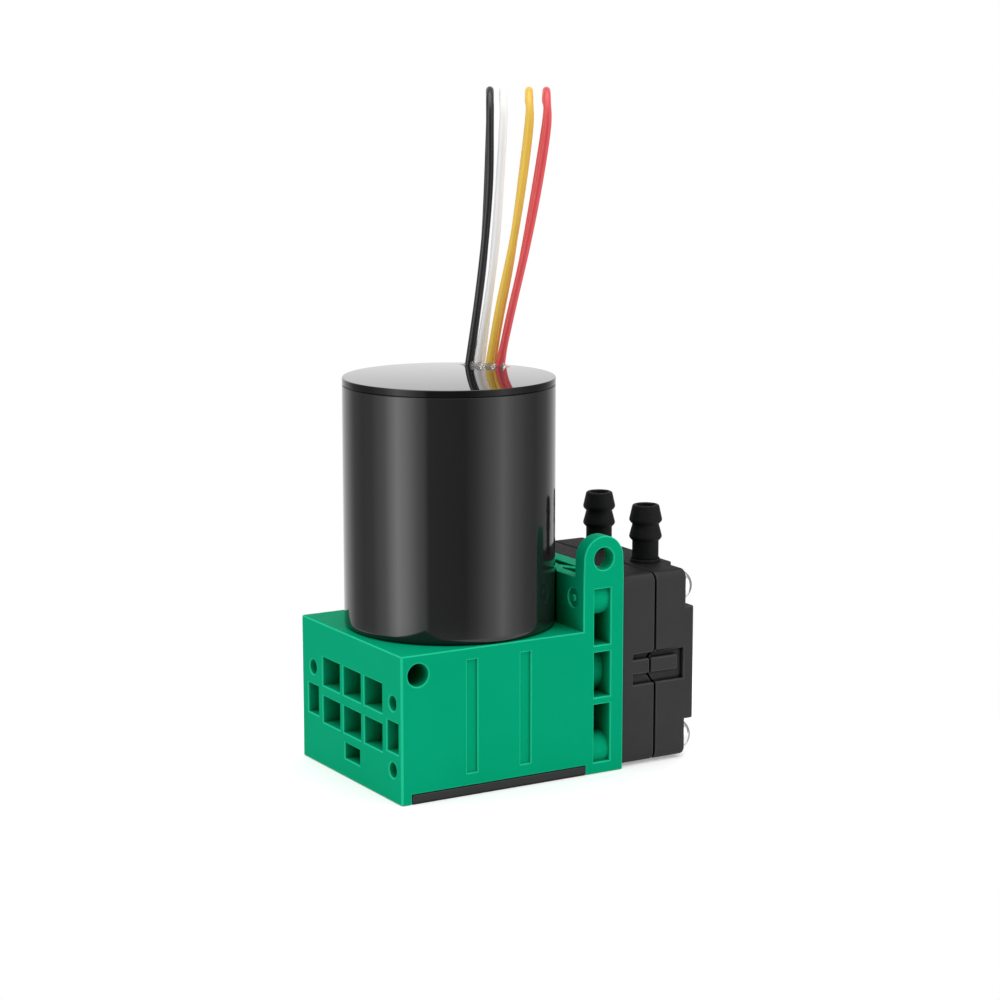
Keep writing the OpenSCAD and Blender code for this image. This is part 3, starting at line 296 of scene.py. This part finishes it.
def turned_rings(outline, steps):
    """An outline of (radius, height) points turned round the motor axis: the point at angle v is
    (radius cos v, radius sin v, height)."""
    v = np.linspace(0, 2 * np.pi, steps, endpoint=False)[None, :]
    radius, height = outline[:, :1], outline[:, 1:]
    return np.stack([radius * np.cos(v), radius * np.sin(v), height + 0 * v], axis=-1)


def softened_copy(name, node, edge, corners_x=math.inf):
    """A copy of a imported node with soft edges. The loose triangles are merged and flat ones joined, and a
    bevel rounds every outward edge where the faces turn by EDGE_TURN or more, by CORNER_SHARE as much where
    a long upright edge stands at corners_x. Inward edges stay sharp, and the faces between are shaded flat.
    The attribute "edge" is 1 along the middle of each rounded edge and 0 elsewhere."""
    mesh = nodes[node].data.copy()
    mesh.name = name
    work = bmesh.new()
    work.from_mesh(mesh)
    bmesh.ops.remove_doubles(work, verts=work.verts, dist=PACKED_MERGE)
    bmesh.ops.dissolve_limit(work, angle_limit=math.radians(FLAT_TURN), verts=work.verts, edges=work.edges)
    turn = math.radians(EDGE_TURN)
    rounded = np.array([line.is_convex and line.calc_face_angle(0) > turn for line in work.edges])
    ends = np.array([[end.co for end in line.verts] for line in work.edges])
    span = np.ptp(ends, axis=1)
    at_corner = (span[:, 2] > CORNER_HEIGHT) & (span[:, :2].max(axis=1) < ON_LINE)
    at_corner &= np.abs(ends[:, 0, 0] - corners_x) < ON_LINE
    work.to_mesh(mesh)
    work.free()
    weight = rounded * np.where(at_corner, 1, 1 / CORNER_SHARE)
    mesh.attributes.new("bevel_weight_edge", "FLOAT", "EDGE").data.foreach_set("value", weight)
    mesh.shade_smooth()
    mesh.materials.clear()
    for place in range(2):              # for the faces of the solid, and for those of the bevel
        mesh.materials.append(None)
    piece = bpy.data.objects.new(name, mesh)
    bpy.context.scene.collection.objects.link(piece)
    bevel = piece.modifiers.new("soft edges", "BEVEL")
    bevel.width = edge * CORNER_SHARE
    bevel.segments = EDGE_SEGMENTS
    bevel.limit_method = "WEIGHT"
    bevel.use_clamp_overlap = False
    bevel.loop_slide = False
    bevel.material = 1
    keep_result(piece)
    piece.data.set_sharp_from_angle(angle=math.radians(SHARP_TURN))
    piece.modifiers.new("flat faces", "WEIGHTED_NORMAL").keep_sharp = True
    keep_result(piece)
    piece.data.name = name
    mark_edges(piece.data)
    return piece


def keep_result(piece):
    """Puts what a piece's modifiers make of it in place of its mesh, and takes them away."""
    piece.data = bpy.data.meshes.new_from_object(piece.evaluated_get(bpy.context.evaluated_depsgraph_get()))
    piece.modifiers.clear()


def draw_in(piece, gap):
    """Shortens a piece along X, by the gap at its +X side, so that a dark joint shows between it and the
    next one."""
    place = np.empty(3 * len(piece.data.vertices))
    piece.data.vertices.foreach_get("co", place)
    x = place[0::3]
    place[0::3] = x.min() + (x - x.min()) * (1 - gap / np.ptp(x))
    piece.data.vertices.foreach_set("co", place)
    piece.data.update()


def mark_edges(mesh):
    """Writes the attribute "edge": for each point, the least over its faces of 1 for a face of the bevel and
    0 for another. Then every face goes back to the first material place, and the places are emptied."""
    bevelled = np.empty(len(mesh.polygons), int)
    mesh.polygons.foreach_get("material_index", bevelled)
    sizes = np.empty(len(mesh.polygons), int)
    mesh.polygons.foreach_get("loop_total", sizes)
    corners = np.empty(len(mesh.loops), int)
    mesh.loops.foreach_get("vertex_index", corners)
    edge = np.ones(len(mesh.vertices))
    np.minimum.at(edge, corners, np.repeat(bevelled, sizes))
    mesh.attributes.new("edge", "FLOAT", "POINT").data.foreach_set("value", edge)
    mesh.polygons.foreach_set("material_index", 0 * bevelled)
    mesh.materials.clear()


def dress(piece, body, slot, node):
    """Gives a new piece its body and the finish of its material slot, and hides the node that it stands for.
    """
    piece.data.materials.append(FINISHES[slot])
    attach(piece, body)
    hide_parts(node)
    return piece


def linear(red, green, blue):
    """A screen colour of 0 to 255 as the linear values that Blender takes."""
    screen = np.array([red, green, blue]) / 255
    return [*np.where(screen <= 0.04045, screen / 12.92, ((screen + 0.055) / 1.055)**2.4), 1.0]


def add_node(tree, kind, inputs, **settings):
    """A new shader node. Its settings are given by name, and each input, by name or number, as the output
    that is linked to it or as a value."""
    node = tree.nodes.new("ShaderNode" + kind)
    for name, value in settings.items():
        setattr(node, name, value)
    for socket, value in inputs.items():
        if isinstance(value, bpy.types.NodeSocket):
            tree.links.new(value, node.inputs[socket])
        else:
            node.inputs[socket].default_value = value
    return node


def spread(tree, value, low, high, to_low=0, to_high=1, curve="LINEAR"):
    """A value that runs from to_low to to_high while the given one runs from low to high."""
    inputs = {"Value": value, "From Min": low, "From Max": high, "To Min": to_low, "To Max": to_high}
    return add_node(tree, "MapRange", inputs, interpolation_type=curve).outputs["Result"]


def combined(tree, operation, first, second, clamped=False):
    """Two values combined by an operation of the Math node, and held between 0 and 1 where clamped."""
    node = add_node(tree, "Math", {0: first, 1: second}, operation=operation, use_clamp=clamped)
    return node.outputs["Value"]


def mixed_colour(tree, share, first, second):
    """The first colour where the share is 0, running to the second where it is 1. For colours the Mix node
    has inputs 6 and 7 and output 2."""
    return add_node(tree, "Mix", {"Factor": share, 6: first, 7: second}, data_type="RGBA").outputs[2]


class Finish:
    """One material: a Principled surface, with patterns that are fixed to the piece by its Object
    coordinates. Values that are the same all over are set on the surface's own sockets, and the plain
    colour and roughness stand there for whatever reads no patterns."""

    def __init__(self, name, colour, roughness, **sockets):
        self.material = bpy.data.materials.new(name)
        self.material.use_nodes = True
        self.tree = self.material.node_tree
        self.surface = self.tree.nodes["Principled BSDF"]
        self.surface.inputs["Base Color"].default_value = colour
        self.surface.inputs["Roughness"].default_value = roughness
        for socket, value in sockets.items():
            self.surface.inputs[socket.replace("_", " ")].default_value = value
        self.place = add_node(self.tree, "TexCoord", {}).outputs["Object"]
        self.colour = colour

    def stretched(self, scale):
        """The Object coordinates, multiplied by a scale for each axis."""
        return add_node(self.tree, "Mapping", {"Vector": self.place, "Scale": scale}).outputs["Vector"]

    def cloud(self, size, detail, place=None):
        """Soft noise whose patches are about the given size in metres."""
        inputs = {"Vector": place or self.place, "Scale": 1 / size, "Detail": detail}
        return add_node(self.tree, "TexNoise", inputs).outputs["Fac"]

    def above(self, start, full):
        """0 below the height start, and 1 above the height full."""
        height = add_node(self.tree, "SeparateXYZ", {"Vector": self.place}).outputs["Z"]
        return spread(self.tree, height, start, full)

    def edges(self, share):
        """The given share along the middle of each rounded edge, and 0 elsewhere: the mask of the painted
        highlight.
        """
        edge = add_node(self.tree, "Attribute", {}, attribute_name="edge").outputs["Fac"]
        return spread(self.tree, edge, 0, 1, 0, share)

    def paint_recess_shade(self, reach, starts, full, painted_shade):
        """Painted shade: the colour turns to the painted shade colour where walls within the reach close a
        place in:
        it starts where the open part of the view from the place is starts, and is whole where it is full."""
        view = add_node(self.tree, "AmbientOcclusion", {"Distance": reach}, samples=SHADE_SAMPLES)
        self.mottle(spread(self.tree, view.outputs["AO"], full, starts, 1, 0), None, painted_shade)

    def mottle(self, pattern, dark, light):
        """The colour runs from dark, or from what it was where dark is None, to light with the pattern."""
        self.colour = mixed_colour(self.tree, pattern, self.colour if dark is None else dark, light)
        self.tree.links.new(self.colour, self.surface.inputs["Base Color"])

    def drive(self, socket, pattern, low, high, starts=0, full=1):
        """A value of the surface runs from low to high while the pattern runs from starts to full."""
        self.tree.links.new(spread(self.tree, pattern, starts, full, low, high), self.surface.inputs[socket])

    def polish(self, pattern, smooth, rough):
        """The roughness runs from smooth to rough with the pattern."""
        self.drive("Roughness", pattern, smooth, rough, *PATCH_RANGE)

    def relief(self, pattern, depth):
        """The surface rises and falls by the depth in metres with the pattern."""
        bump = add_node(self.tree, "Bump", {"Height": pattern, "Distance": depth})
        self.tree.links.new(bump.outputs["Normal"], self.surface.inputs["Normal"])


def green_plastic():
    """Satin moulded plastic, fine grain, hardly any sheen, painted highlight on edges, painted shade in
    pockets.
    """
    finish = Finish("green plastic", linear(6, 160, 116), 0.4, Specular_IOR_Level=0.004,
                    Specular_Tint=(0.07, 1, 0.8, 1))
    finish.mottle(finish.cloud(9 * mm, 3), linear(3, 158, 114), linear(7, 166, 121))
    # painted highlight: lighter colour along the middle of each rounded edge
    finish.mottle(finish.edges(0.7), None, linear(44, 212, 162))
    finish.polish(finish.cloud(0.6 * mm, 3), 0.34, 0.46)
    finish.relief(finish.cloud(0.14 * mm, 4), 0.003 * mm)
    # painted shade: darker green in the pockets, windows and inner corners
    finish.paint_recess_shade(7 * mm, 0.4, 0.04, linear(0, 88, 36))
    return finish.material


def dark_plastic():
    """Matt black moulded plastic with a spark-eroded grain, painted highlight on its rounded edges and
    painted shade in its fine gaps and inner corners. Painted shade makes the head's top and barbs blacker."""
    finish = Finish("dark plastic", linear(54, 54, 55), 0.6, Specular_IOR_Level=0.12)
    finish.mottle(finish.cloud(5 * mm, 3), linear(51, 50, 51), linear(57, 57, 58))
    # painted highlight: paler colour along the middle of each rounded edge
    finish.mottle(finish.edges(0.42), None, linear(84, 84, 85))
    # painted shade: the head's top and barbs are painted darker above HEAD_TOP
    finish.mottle(finish.above(HEAD_TOP, HEAD_TOP_FULL), None, linear(24, 24, 25))
    finish.polish(finish.cloud(0.35 * mm, 2), 0.55, 0.68)
    finish.relief(finish.cloud(0.11 * mm, 4), 0.006 * mm)
    # painted shade: near-black colour in the seam, fine gaps and inner corners
    finish.paint_recess_shade(0.6 * mm, 0.88, 0.5, linear(8, 8, 8))
    return finish.material


def black_can():
    """Black painted steel with a high gloss."""
    finish = Finish("black can", linear(24, 24, 25), 0.08)
    finish.mottle(finish.cloud(12 * mm, 2), linear(22, 22, 23), linear(27, 27, 28))
    finish.polish(finish.cloud(3 * mm, 3), 0.07, 0.1)
    finish.relief(finish.cloud(2.5 * mm, 1), 0.0006 * mm)
    return finish.material


def black_lid():
    """Black disc with a mirror-polished top and a less glossy side."""
    finish = Finish("black lid", linear(14, 14, 15), 0.03, Coat_Roughness=0.02)
    finish.mottle(finish.cloud(8 * mm, 2), linear(12, 12, 13), linear(17, 17, 18))
    finish.polish(finish.cloud(1.5 * mm, 3), 0.025, 0.05)
    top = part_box("motor_lid")[1].z
    face = finish.above(top - LID_FACE, top - LID_FACE_FULL)
    finish.drive("Coat Weight", face, 0, 0.42)
    finish.drive("Specular IOR Level", face, 0.22, 0.5)
    return finish.material


def metal(name, colour, smooth, rough, grain, scratch=(1, 1, 1), rim=1.0):
    """A bare metal. Its grain is noise of the given size, stretched along the axes with a small scratch. A
    rim under 1 darkens it where it is seen at a glancing angle."""
    finish = Finish(name, colour, rough, Metallic=1.0, Specular_Tint=(rim, rim, rim, 1))
    pattern = finish.cloud(grain, 4, finish.stretched(scratch))
    shade = [value * METAL_SHADE for value in colour[:3]] + [1.0]
    finish.mottle(pattern, shade, colour)
    finish.polish(pattern, smooth, rough)
    finish.relief(pattern, grain * METAL_RELIEF)
    return finish.material


def plain_plastic(name, low, high, smooth, rough):
    """A satin plastic or rubber, mottled between two colours, with a fine grain."""
    finish = Finish(name, high, rough)
    finish.mottle(finish.cloud(4 * mm, 3), low, high)
    finish.polish(finish.cloud(PLASTIC_GRAIN, 2), smooth, rough)
    finish.relief(finish.cloud(PLASTIC_GRAIN / 2, 3), PLASTIC_RELIEF)
    return finish.material


def sealant():
    """Half-clear glossy glue, mottled in greys."""
    finish = Finish("sealant", linear(180, 176, 174), 0.2, Transmission_Weight=0.68, IOR=1.3)
    finish.mottle(finish.cloud(0.9 * mm, 4), linear(120, 116, 114), linear(216, 212, 210))
    finish.polish(finish.cloud(0.5 * mm, 2), 0.14, 0.3)
    finish.relief(finish.cloud(0.45 * mm, 3), 0.02 * mm)
    return finish.material


FINISHES = {
    "green_plastic": green_plastic(),
    "dark_plastic": dark_plastic(),
    "black_can": black_can(),
    "black_lid": black_lid(),
    "bright_screw": metal("bright screw", [0.86, 0.86, 0.87, 1], 0.1, 0.2, 0.5 * mm, rim=0.1),
    "steel": metal("steel", [0.58, 0.58, 0.6, 1], 0.25, 0.38, 0.25 * mm, (1, 1, 0.15)),
    "aluminium": metal("aluminium", [0.76, 0.77, 0.78, 1], 0.25, 0.4, 0.3 * mm),
    "copper": metal("copper", [0.72, 0.33, 0.15, 1], 0.22, 0.4, 0.2 * mm, (1, 1, 6)),
    "board": plain_plastic("board", linear(20, 92, 60), linear(28, 110, 74), 0.2, 0.32),
    "magnet": plain_plastic("magnet", linear(86, 86, 90), linear(104, 104, 108), 0.5, 0.7),
    "brass": metal("brass", [0.76, 0.58, 0.29, 1], 0.2, 0.35, 0.25 * mm, (1, 1, 0.2)),
    "rod_plastic": plain_plastic("rod plastic", linear(214, 212, 202), linear(226, 224, 216), 0.4, 0.52),
    "rubber": plain_plastic("rubber", linear(30, 30, 31), linear(38, 38, 39), 0.6, 0.78),
    "sealant": sealant(),
    "black_wire": plain_plastic("black wire", linear(20, 20, 22), linear(27, 27, 29), 0.3, 0.42),
    "white_wire": plain_plastic("white wire", linear(244, 244, 243), linear(249, 249, 249), 0.3, 0.42),
    "yellow_wire": plain_plastic("yellow wire", linear(232, 188, 62), linear(242, 202, 78), 0.3, 0.42),
    "red_wire": plain_plastic("red wire", linear(218, 66, 70), linear(228, 82, 86), 0.3, 0.42),
    "connector_plastic": plain_plastic("connector plastic", linear(226, 222, 210), linear(236, 232, 222),
                                       0.4, 0.52),
}


def finish_nodes():
    """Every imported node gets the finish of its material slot, also those inside."""
    slot_of = {entry["node"]: entry["material_slot"] for entry in frame["record"]["subparts"]}
    for name, node in nodes.items():
        for slot in node.material_slots:
            slot.material = FINISHES[slot_of[name]]


def make_leads():
    """The four leads: each a smooth tube from the lid to the connector that they share. Its free part starts
    where it leaves the sealant, at the first point of its path."""
    connector = softened_copy("connector_housing", "lead_connector", CONNECTOR_EDGE)
    dress(connector, "housing", "connector_plastic", "lead_connector")
    for colour, route in LEAD_ROUTES.items():
        path = smooth_curve(np.array(route) * mm, LEAD_STEPS)
        first = path[1] - path[0]
        foot = path[0] - first / first[2] * (path[0][2] - LEAD_FOOT)
        rings = swept_rings(np.vstack([foot, path]), LEAD_D / 2, LEAD_SIDES)
        lead = rings_piece(f"{colour}_wire", rings, capped=True)
        dress(lead, "housing", f"{colour}_wire", f"{colour}_lead")


def make_motor_can():
    """The can, turned: soft lower edge, pilot boss with the lower bearing's cup, floor, wall and open top."""
    low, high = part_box("motor_can")
    radius = high.x
    floor_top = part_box("motor_screws")[1].z
    box_top = floor_top - CAN_FLOOR
    bearing_low, bearing_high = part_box("lower_bearing")
    cup_r = bearing_high.x + SEAT_GAP
    outline = softened_outline([
        (cup_r - CUP_LIP, low.z, 0), (PILOT_R, low.z, SHELL_EDGE), (PILOT_R, box_top, 0),
        (radius, box_top, CAN_ROUND), (radius, high.z, SHELL_EDGE), (radius - CAN_WALL, high.z, SHELL_EDGE),
        (radius - CAN_WALL, floor_top, FLOOR_EDGE), (cup_r + CUP_WALL, floor_top, FLOOR_EDGE),
        (cup_r + CUP_WALL, bearing_high.z, SHELL_EDGE), (cup_r, bearing_high.z, SEAT_EDGE),
        (cup_r, bearing_low.z, 0), (cup_r - CUP_LIP, bearing_low.z, 0)])
    can = rings_piece("can_shell", turned_rings(outline, TURN_STEPS), looped=True)
    return dress(can, "housing", "black_can", "motor_can")


def make_motor_lid():
    """The lid, turned: a polished disc with a fine rounded rim over a shadow groove, and the plug below
    it."""
    low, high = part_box("motor_lid")
    radius = high.x
    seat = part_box("motor_can")[1].z
    plug_r = radius - CAN_WALL - SEAT_GAP
    groove_top = seat + GROOVE_HEIGHT
    outline = softened_outline([
        (0, low.z, 0), (plug_r, low.z, SHELL_EDGE), (plug_r, seat, 0), (radius - GROOVE_DEPTH, seat, 0),
        (radius - GROOVE_DEPTH, groove_top, GROOVE_EDGE), (radius, groove_top + GROOVE_FLARE, SEAT_EDGE),
        (radius, high.z, LID_EDGE), (0, high.z, 0)])
    lid = rings_piece("lid_disc", turned_rings(outline, TURN_STEPS))
    return dress(lid, "housing", "black_lid", "motor_lid")


def make_sealant():
    """The glue where the leads leave the lid. Over an oval of rings from its middle (s = 0) to its rim
    (s = 1), its height is a bead, SEAL_BEAD (1 - s squared), plus a climb at each lead that falls off with
    the distance d from the lead's skin as exp(-d / SEAL_REACH). The rim wanders in and out a little."""
    exits = np.array([route[0] for route in LEAD_ROUTES.values()]) * mm
    long_way = (exits[0] - exits[-1]) / np.linalg.norm(exits[0] - exits[-1])
    short_way = np.array([long_way[1], -long_way[0], 0])
    low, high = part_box("lead_seal")
    middle = np.array([(low.x + high.x) / 2, (low.y + high.y) / 2, 0]) + SEAL_BACK * short_way
    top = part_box("motor_lid")[1].z
    s = np.linspace(0, 1, SEAL_RINGS)[:, None]
    v = np.linspace(0, 2 * np.pi, SEAL_STEPS, endpoint=False)[None, :]
    wander = 1 + sum(share * np.sin(count * v + phase) for count, share, phase in SEAL_WAVES)
    along = SEAL_HALF_LENGTH * s * wander * np.cos(v)
    across = SEAL_HALF_WIDTH * s * wander * np.sign(np.sin(v)) * np.abs(np.sin(v))**SEAL_POINTED
    flat = middle + along[..., None] * long_way + across[..., None] * short_way
    away = np.linalg.norm(flat[..., None, :2] - exits[:, :2], axis=-1) - LEAD_D / 2
    climb = SEAL_CLIMB * np.exp(-np.maximum(away, 0) / SEAL_REACH).max(axis=-1)
    flat[..., 2] = top + SEAL_BEAD * (1 - s**2) + climb * np.clip((1 - s) / SEAL_RIM, 0, 1)
    foot = flat[-1:].copy()
    foot[..., 2] = top - SEAL_SINK
    glue = rings_piece("sealant_bead", np.concatenate([flat, foot])[::-1])
    return dress(glue, "housing", "sealant", "lead_seal")


def make_mouldings():
    """The bracket, the cover under it, both halves of the head and its screws, with soft edges."""
    for name, node, edge, slot in [
            ("bracket_moulding", "pump_bracket", BRACKET_EDGE, "green_plastic"),
            ("base_cover", "bottom_cover", COVER_EDGE, "dark_plastic"),
            ("head_inner_half", "valve_plate", HEAD_EDGE, "dark_plastic"),
            ("head_outer_half", "head_cover", HEAD_EDGE, "dark_plastic"),
            ("head_screw_set", "head_screws", SCREW_EDGE, "bright_screw")]:
        corners_x = cad_box[0][0] if node == "pump_bracket" else math.inf
        piece = dress(softened_copy(name, node, edge, corners_x), "housing", slot, node)
        if node == "valve_plate":
            draw_in(piece, HEAD_JOINT)


def lay_floor():
    """A white disc under the pump that fades out to the white room, so that only the soft shadow shows. It
    is clear from below, where it would hide the pump."""
    v = np.linspace(0, 2 * np.pi, FLOOR_STEPS, endpoint=False)
    radius = np.array(FLOOR_RADII)[:, None]
    rings = np.stack([radius * np.cos(v), radius * np.sin(v), 0 * radius * v], axis=-1)
    floor = rings_piece("floor", rings[::-1])
    floor.location.z = -FLOOR_DROP
    material = bpy.data.materials.new("floor")
    material.use_nodes = True
    tree = material.node_tree
    tree.nodes.clear()
    place = add_node(tree, "TexCoord", {}).outputs["Object"]
    length = add_node(tree, "VectorMath", {0: place}, operation="LENGTH").outputs["Value"]
    fade = spread(tree, length, FLOOR_FULL, FLOOR_FADE, 1, 0, "SMOOTHSTEP")
    below = add_node(tree, "NewGeometry", {}).outputs["Backfacing"]
    shown = combined(tree, "SUBTRACT", fade, below, clamped=True)
    seen = light_path_flag(tree, "Is Camera Ray", "Is Glossy Ray", "Is Transmission Ray")
    glow = add_node(tree, "Emission", {"Strength": combined(tree, "MULTIPLY", seen, FLOOR_GLOW)})
    white = add_node(tree, "BsdfDiffuse", {"Color": FLOOR_COLOUR})
    lit = add_node(tree, "AddShader", {0: white.outputs["BSDF"], 1: glow.outputs["Emission"]})
    clear = add_node(tree, "BsdfTransparent", {})
    mix = add_node(tree, "MixShader", {"Fac": shown, 1: clear.outputs["BSDF"], 2: lit.outputs["Shader"]})
    add_node(tree, "OutputMaterial", {"Surface": mix.outputs["Shader"]})
    floor.data.materials.append(material)


def light_path_flag(tree, *names):
    """1 for a ray of any of the named kinds, otherwise 0."""
    path = add_node(tree, "LightPath", {})
    flag = path.outputs[names[0]]
    for name in names[1:]:
        flag = combined(tree, "MAXIMUM", flag, path.outputs[name])
    return flag


def light_room():
    """The world: white to the eye and through glass, and for the rest light by direction. A level is read
    from LOW_GLOSS or SOFT by the angle round the pump, turns into HIGH_GLOSS higher up, and into the
    overhead light at the top."""
    world = bpy.data.worlds.new("room")
    bpy.context.scene.world = world
    world.use_nodes = True
    tree = world.node_tree
    tree.nodes.clear()

    def part(line):
        """The part of a direction along a line."""
        return add_node(tree, "VectorMath", {0: way, 1: line}, operation="DOT_PRODUCT").outputs["Value"]

    def grey(level):
        """A level as a colour: its share of LIGHT_PEAK, since a colour can't pass 1."""
        return [level / LIGHT_PEAK] * 3 + [1]

    def level_ramp(stops):
        """The grey levels of the stops, by the angle round the pump."""
        ramp = add_node(tree, "ValToRGB", {"Fac": turn})
        elements = ramp.color_ramp.elements
        for index, (degrees, level) in enumerate(stops):
            position = (degrees + 180) / 360
            stop = elements[index] if index < 2 else elements.new(position)
            stop.position = position
            stop.color = grey(level)
        return ramp.outputs["Color"]

    def background(colour, strength):
        """Light of one colour or one pattern of colours."""
        return add_node(tree, "Background", {"Color": colour, "Strength": strength}).outputs["Background"]

    def chosen(flag, first, second):
        """The first light where the flag is 0, and the second where it is 1."""
        return add_node(tree, "MixShader", {"Fac": flag, 1: first, 2: second}).outputs["Shader"]

    way = add_node(tree, "TexCoord", {}).outputs["Generated"]
    rightward = part((math.cos(CAMERA_YAW), -math.sin(CAMERA_YAW), 0))
    towards_camera = part((-math.sin(CAMERA_YAW), -math.cos(CAMERA_YAW), 0))
    height = part((0, 0, 1))
    turn = spread(tree, combined(tree, "ARCTAN2", rightward, towards_camera), -math.pi, math.pi)
    high = spread(tree, height, HIGH_STARTS, HIGH_FULL)
    overhead = spread(tree, height, OVERHEAD_STARTS, OVERHEAD_FULL)
    sides = mixed_colour(tree, high, level_ramp(LOW_GLOSS), level_ramp(HIGH_GLOSS))
    gloss = background(mixed_colour(tree, overhead, sides, grey(OVERHEAD_GLOSS)), LIGHT_PEAK)
    soft = background(mixed_colour(tree, overhead, level_ramp(SOFT), grey(OVERHEAD_SOFT)), LIGHT_PEAK)
    unseen = chosen(light_path_flag(tree, "Is Glossy Ray"), soft, gloss)
    seen = light_path_flag(tree, "Is Camera Ray", "Is Transmission Ray")
    add_node(tree, "OutputWorld", {"Surface": chosen(seen, unseen, background(WHITE, 1))})


def hang_lamp():
    """A soft square lamp overhead that shapes the forms, and isn't mirrored in the gloss."""
    lamp = bpy.data.lights.new("top lamp", "AREA")
    lamp.shape = "RECTANGLE"
    lamp.size = LAMP_SIDE
    lamp.size_y = LAMP_SIDE
    lamp.energy = LAMP_POWER
    holder = bpy.data.objects.new("top lamp", lamp)
    holder.location = LAMP_PLACE
    way = np.array(LAMP_AIM) - np.array(LAMP_PLACE)
    holder.rotation_euler = (math.atan2(math.hypot(way[0], way[1]), -way[2]), 0, math.atan2(-way[0], way[1]))
    holder.visible_glossy = False
    bpy.context.scene.collection.objects.link(holder)


place_camera()
make_leads()
finish_nodes()
make_motor_can()
make_motor_lid()
make_sealant()
make_mouldings()
lay_floor()
light_room()
hang_lamp()
bpy.context.scene.view_settings.view_transform = "Standard"
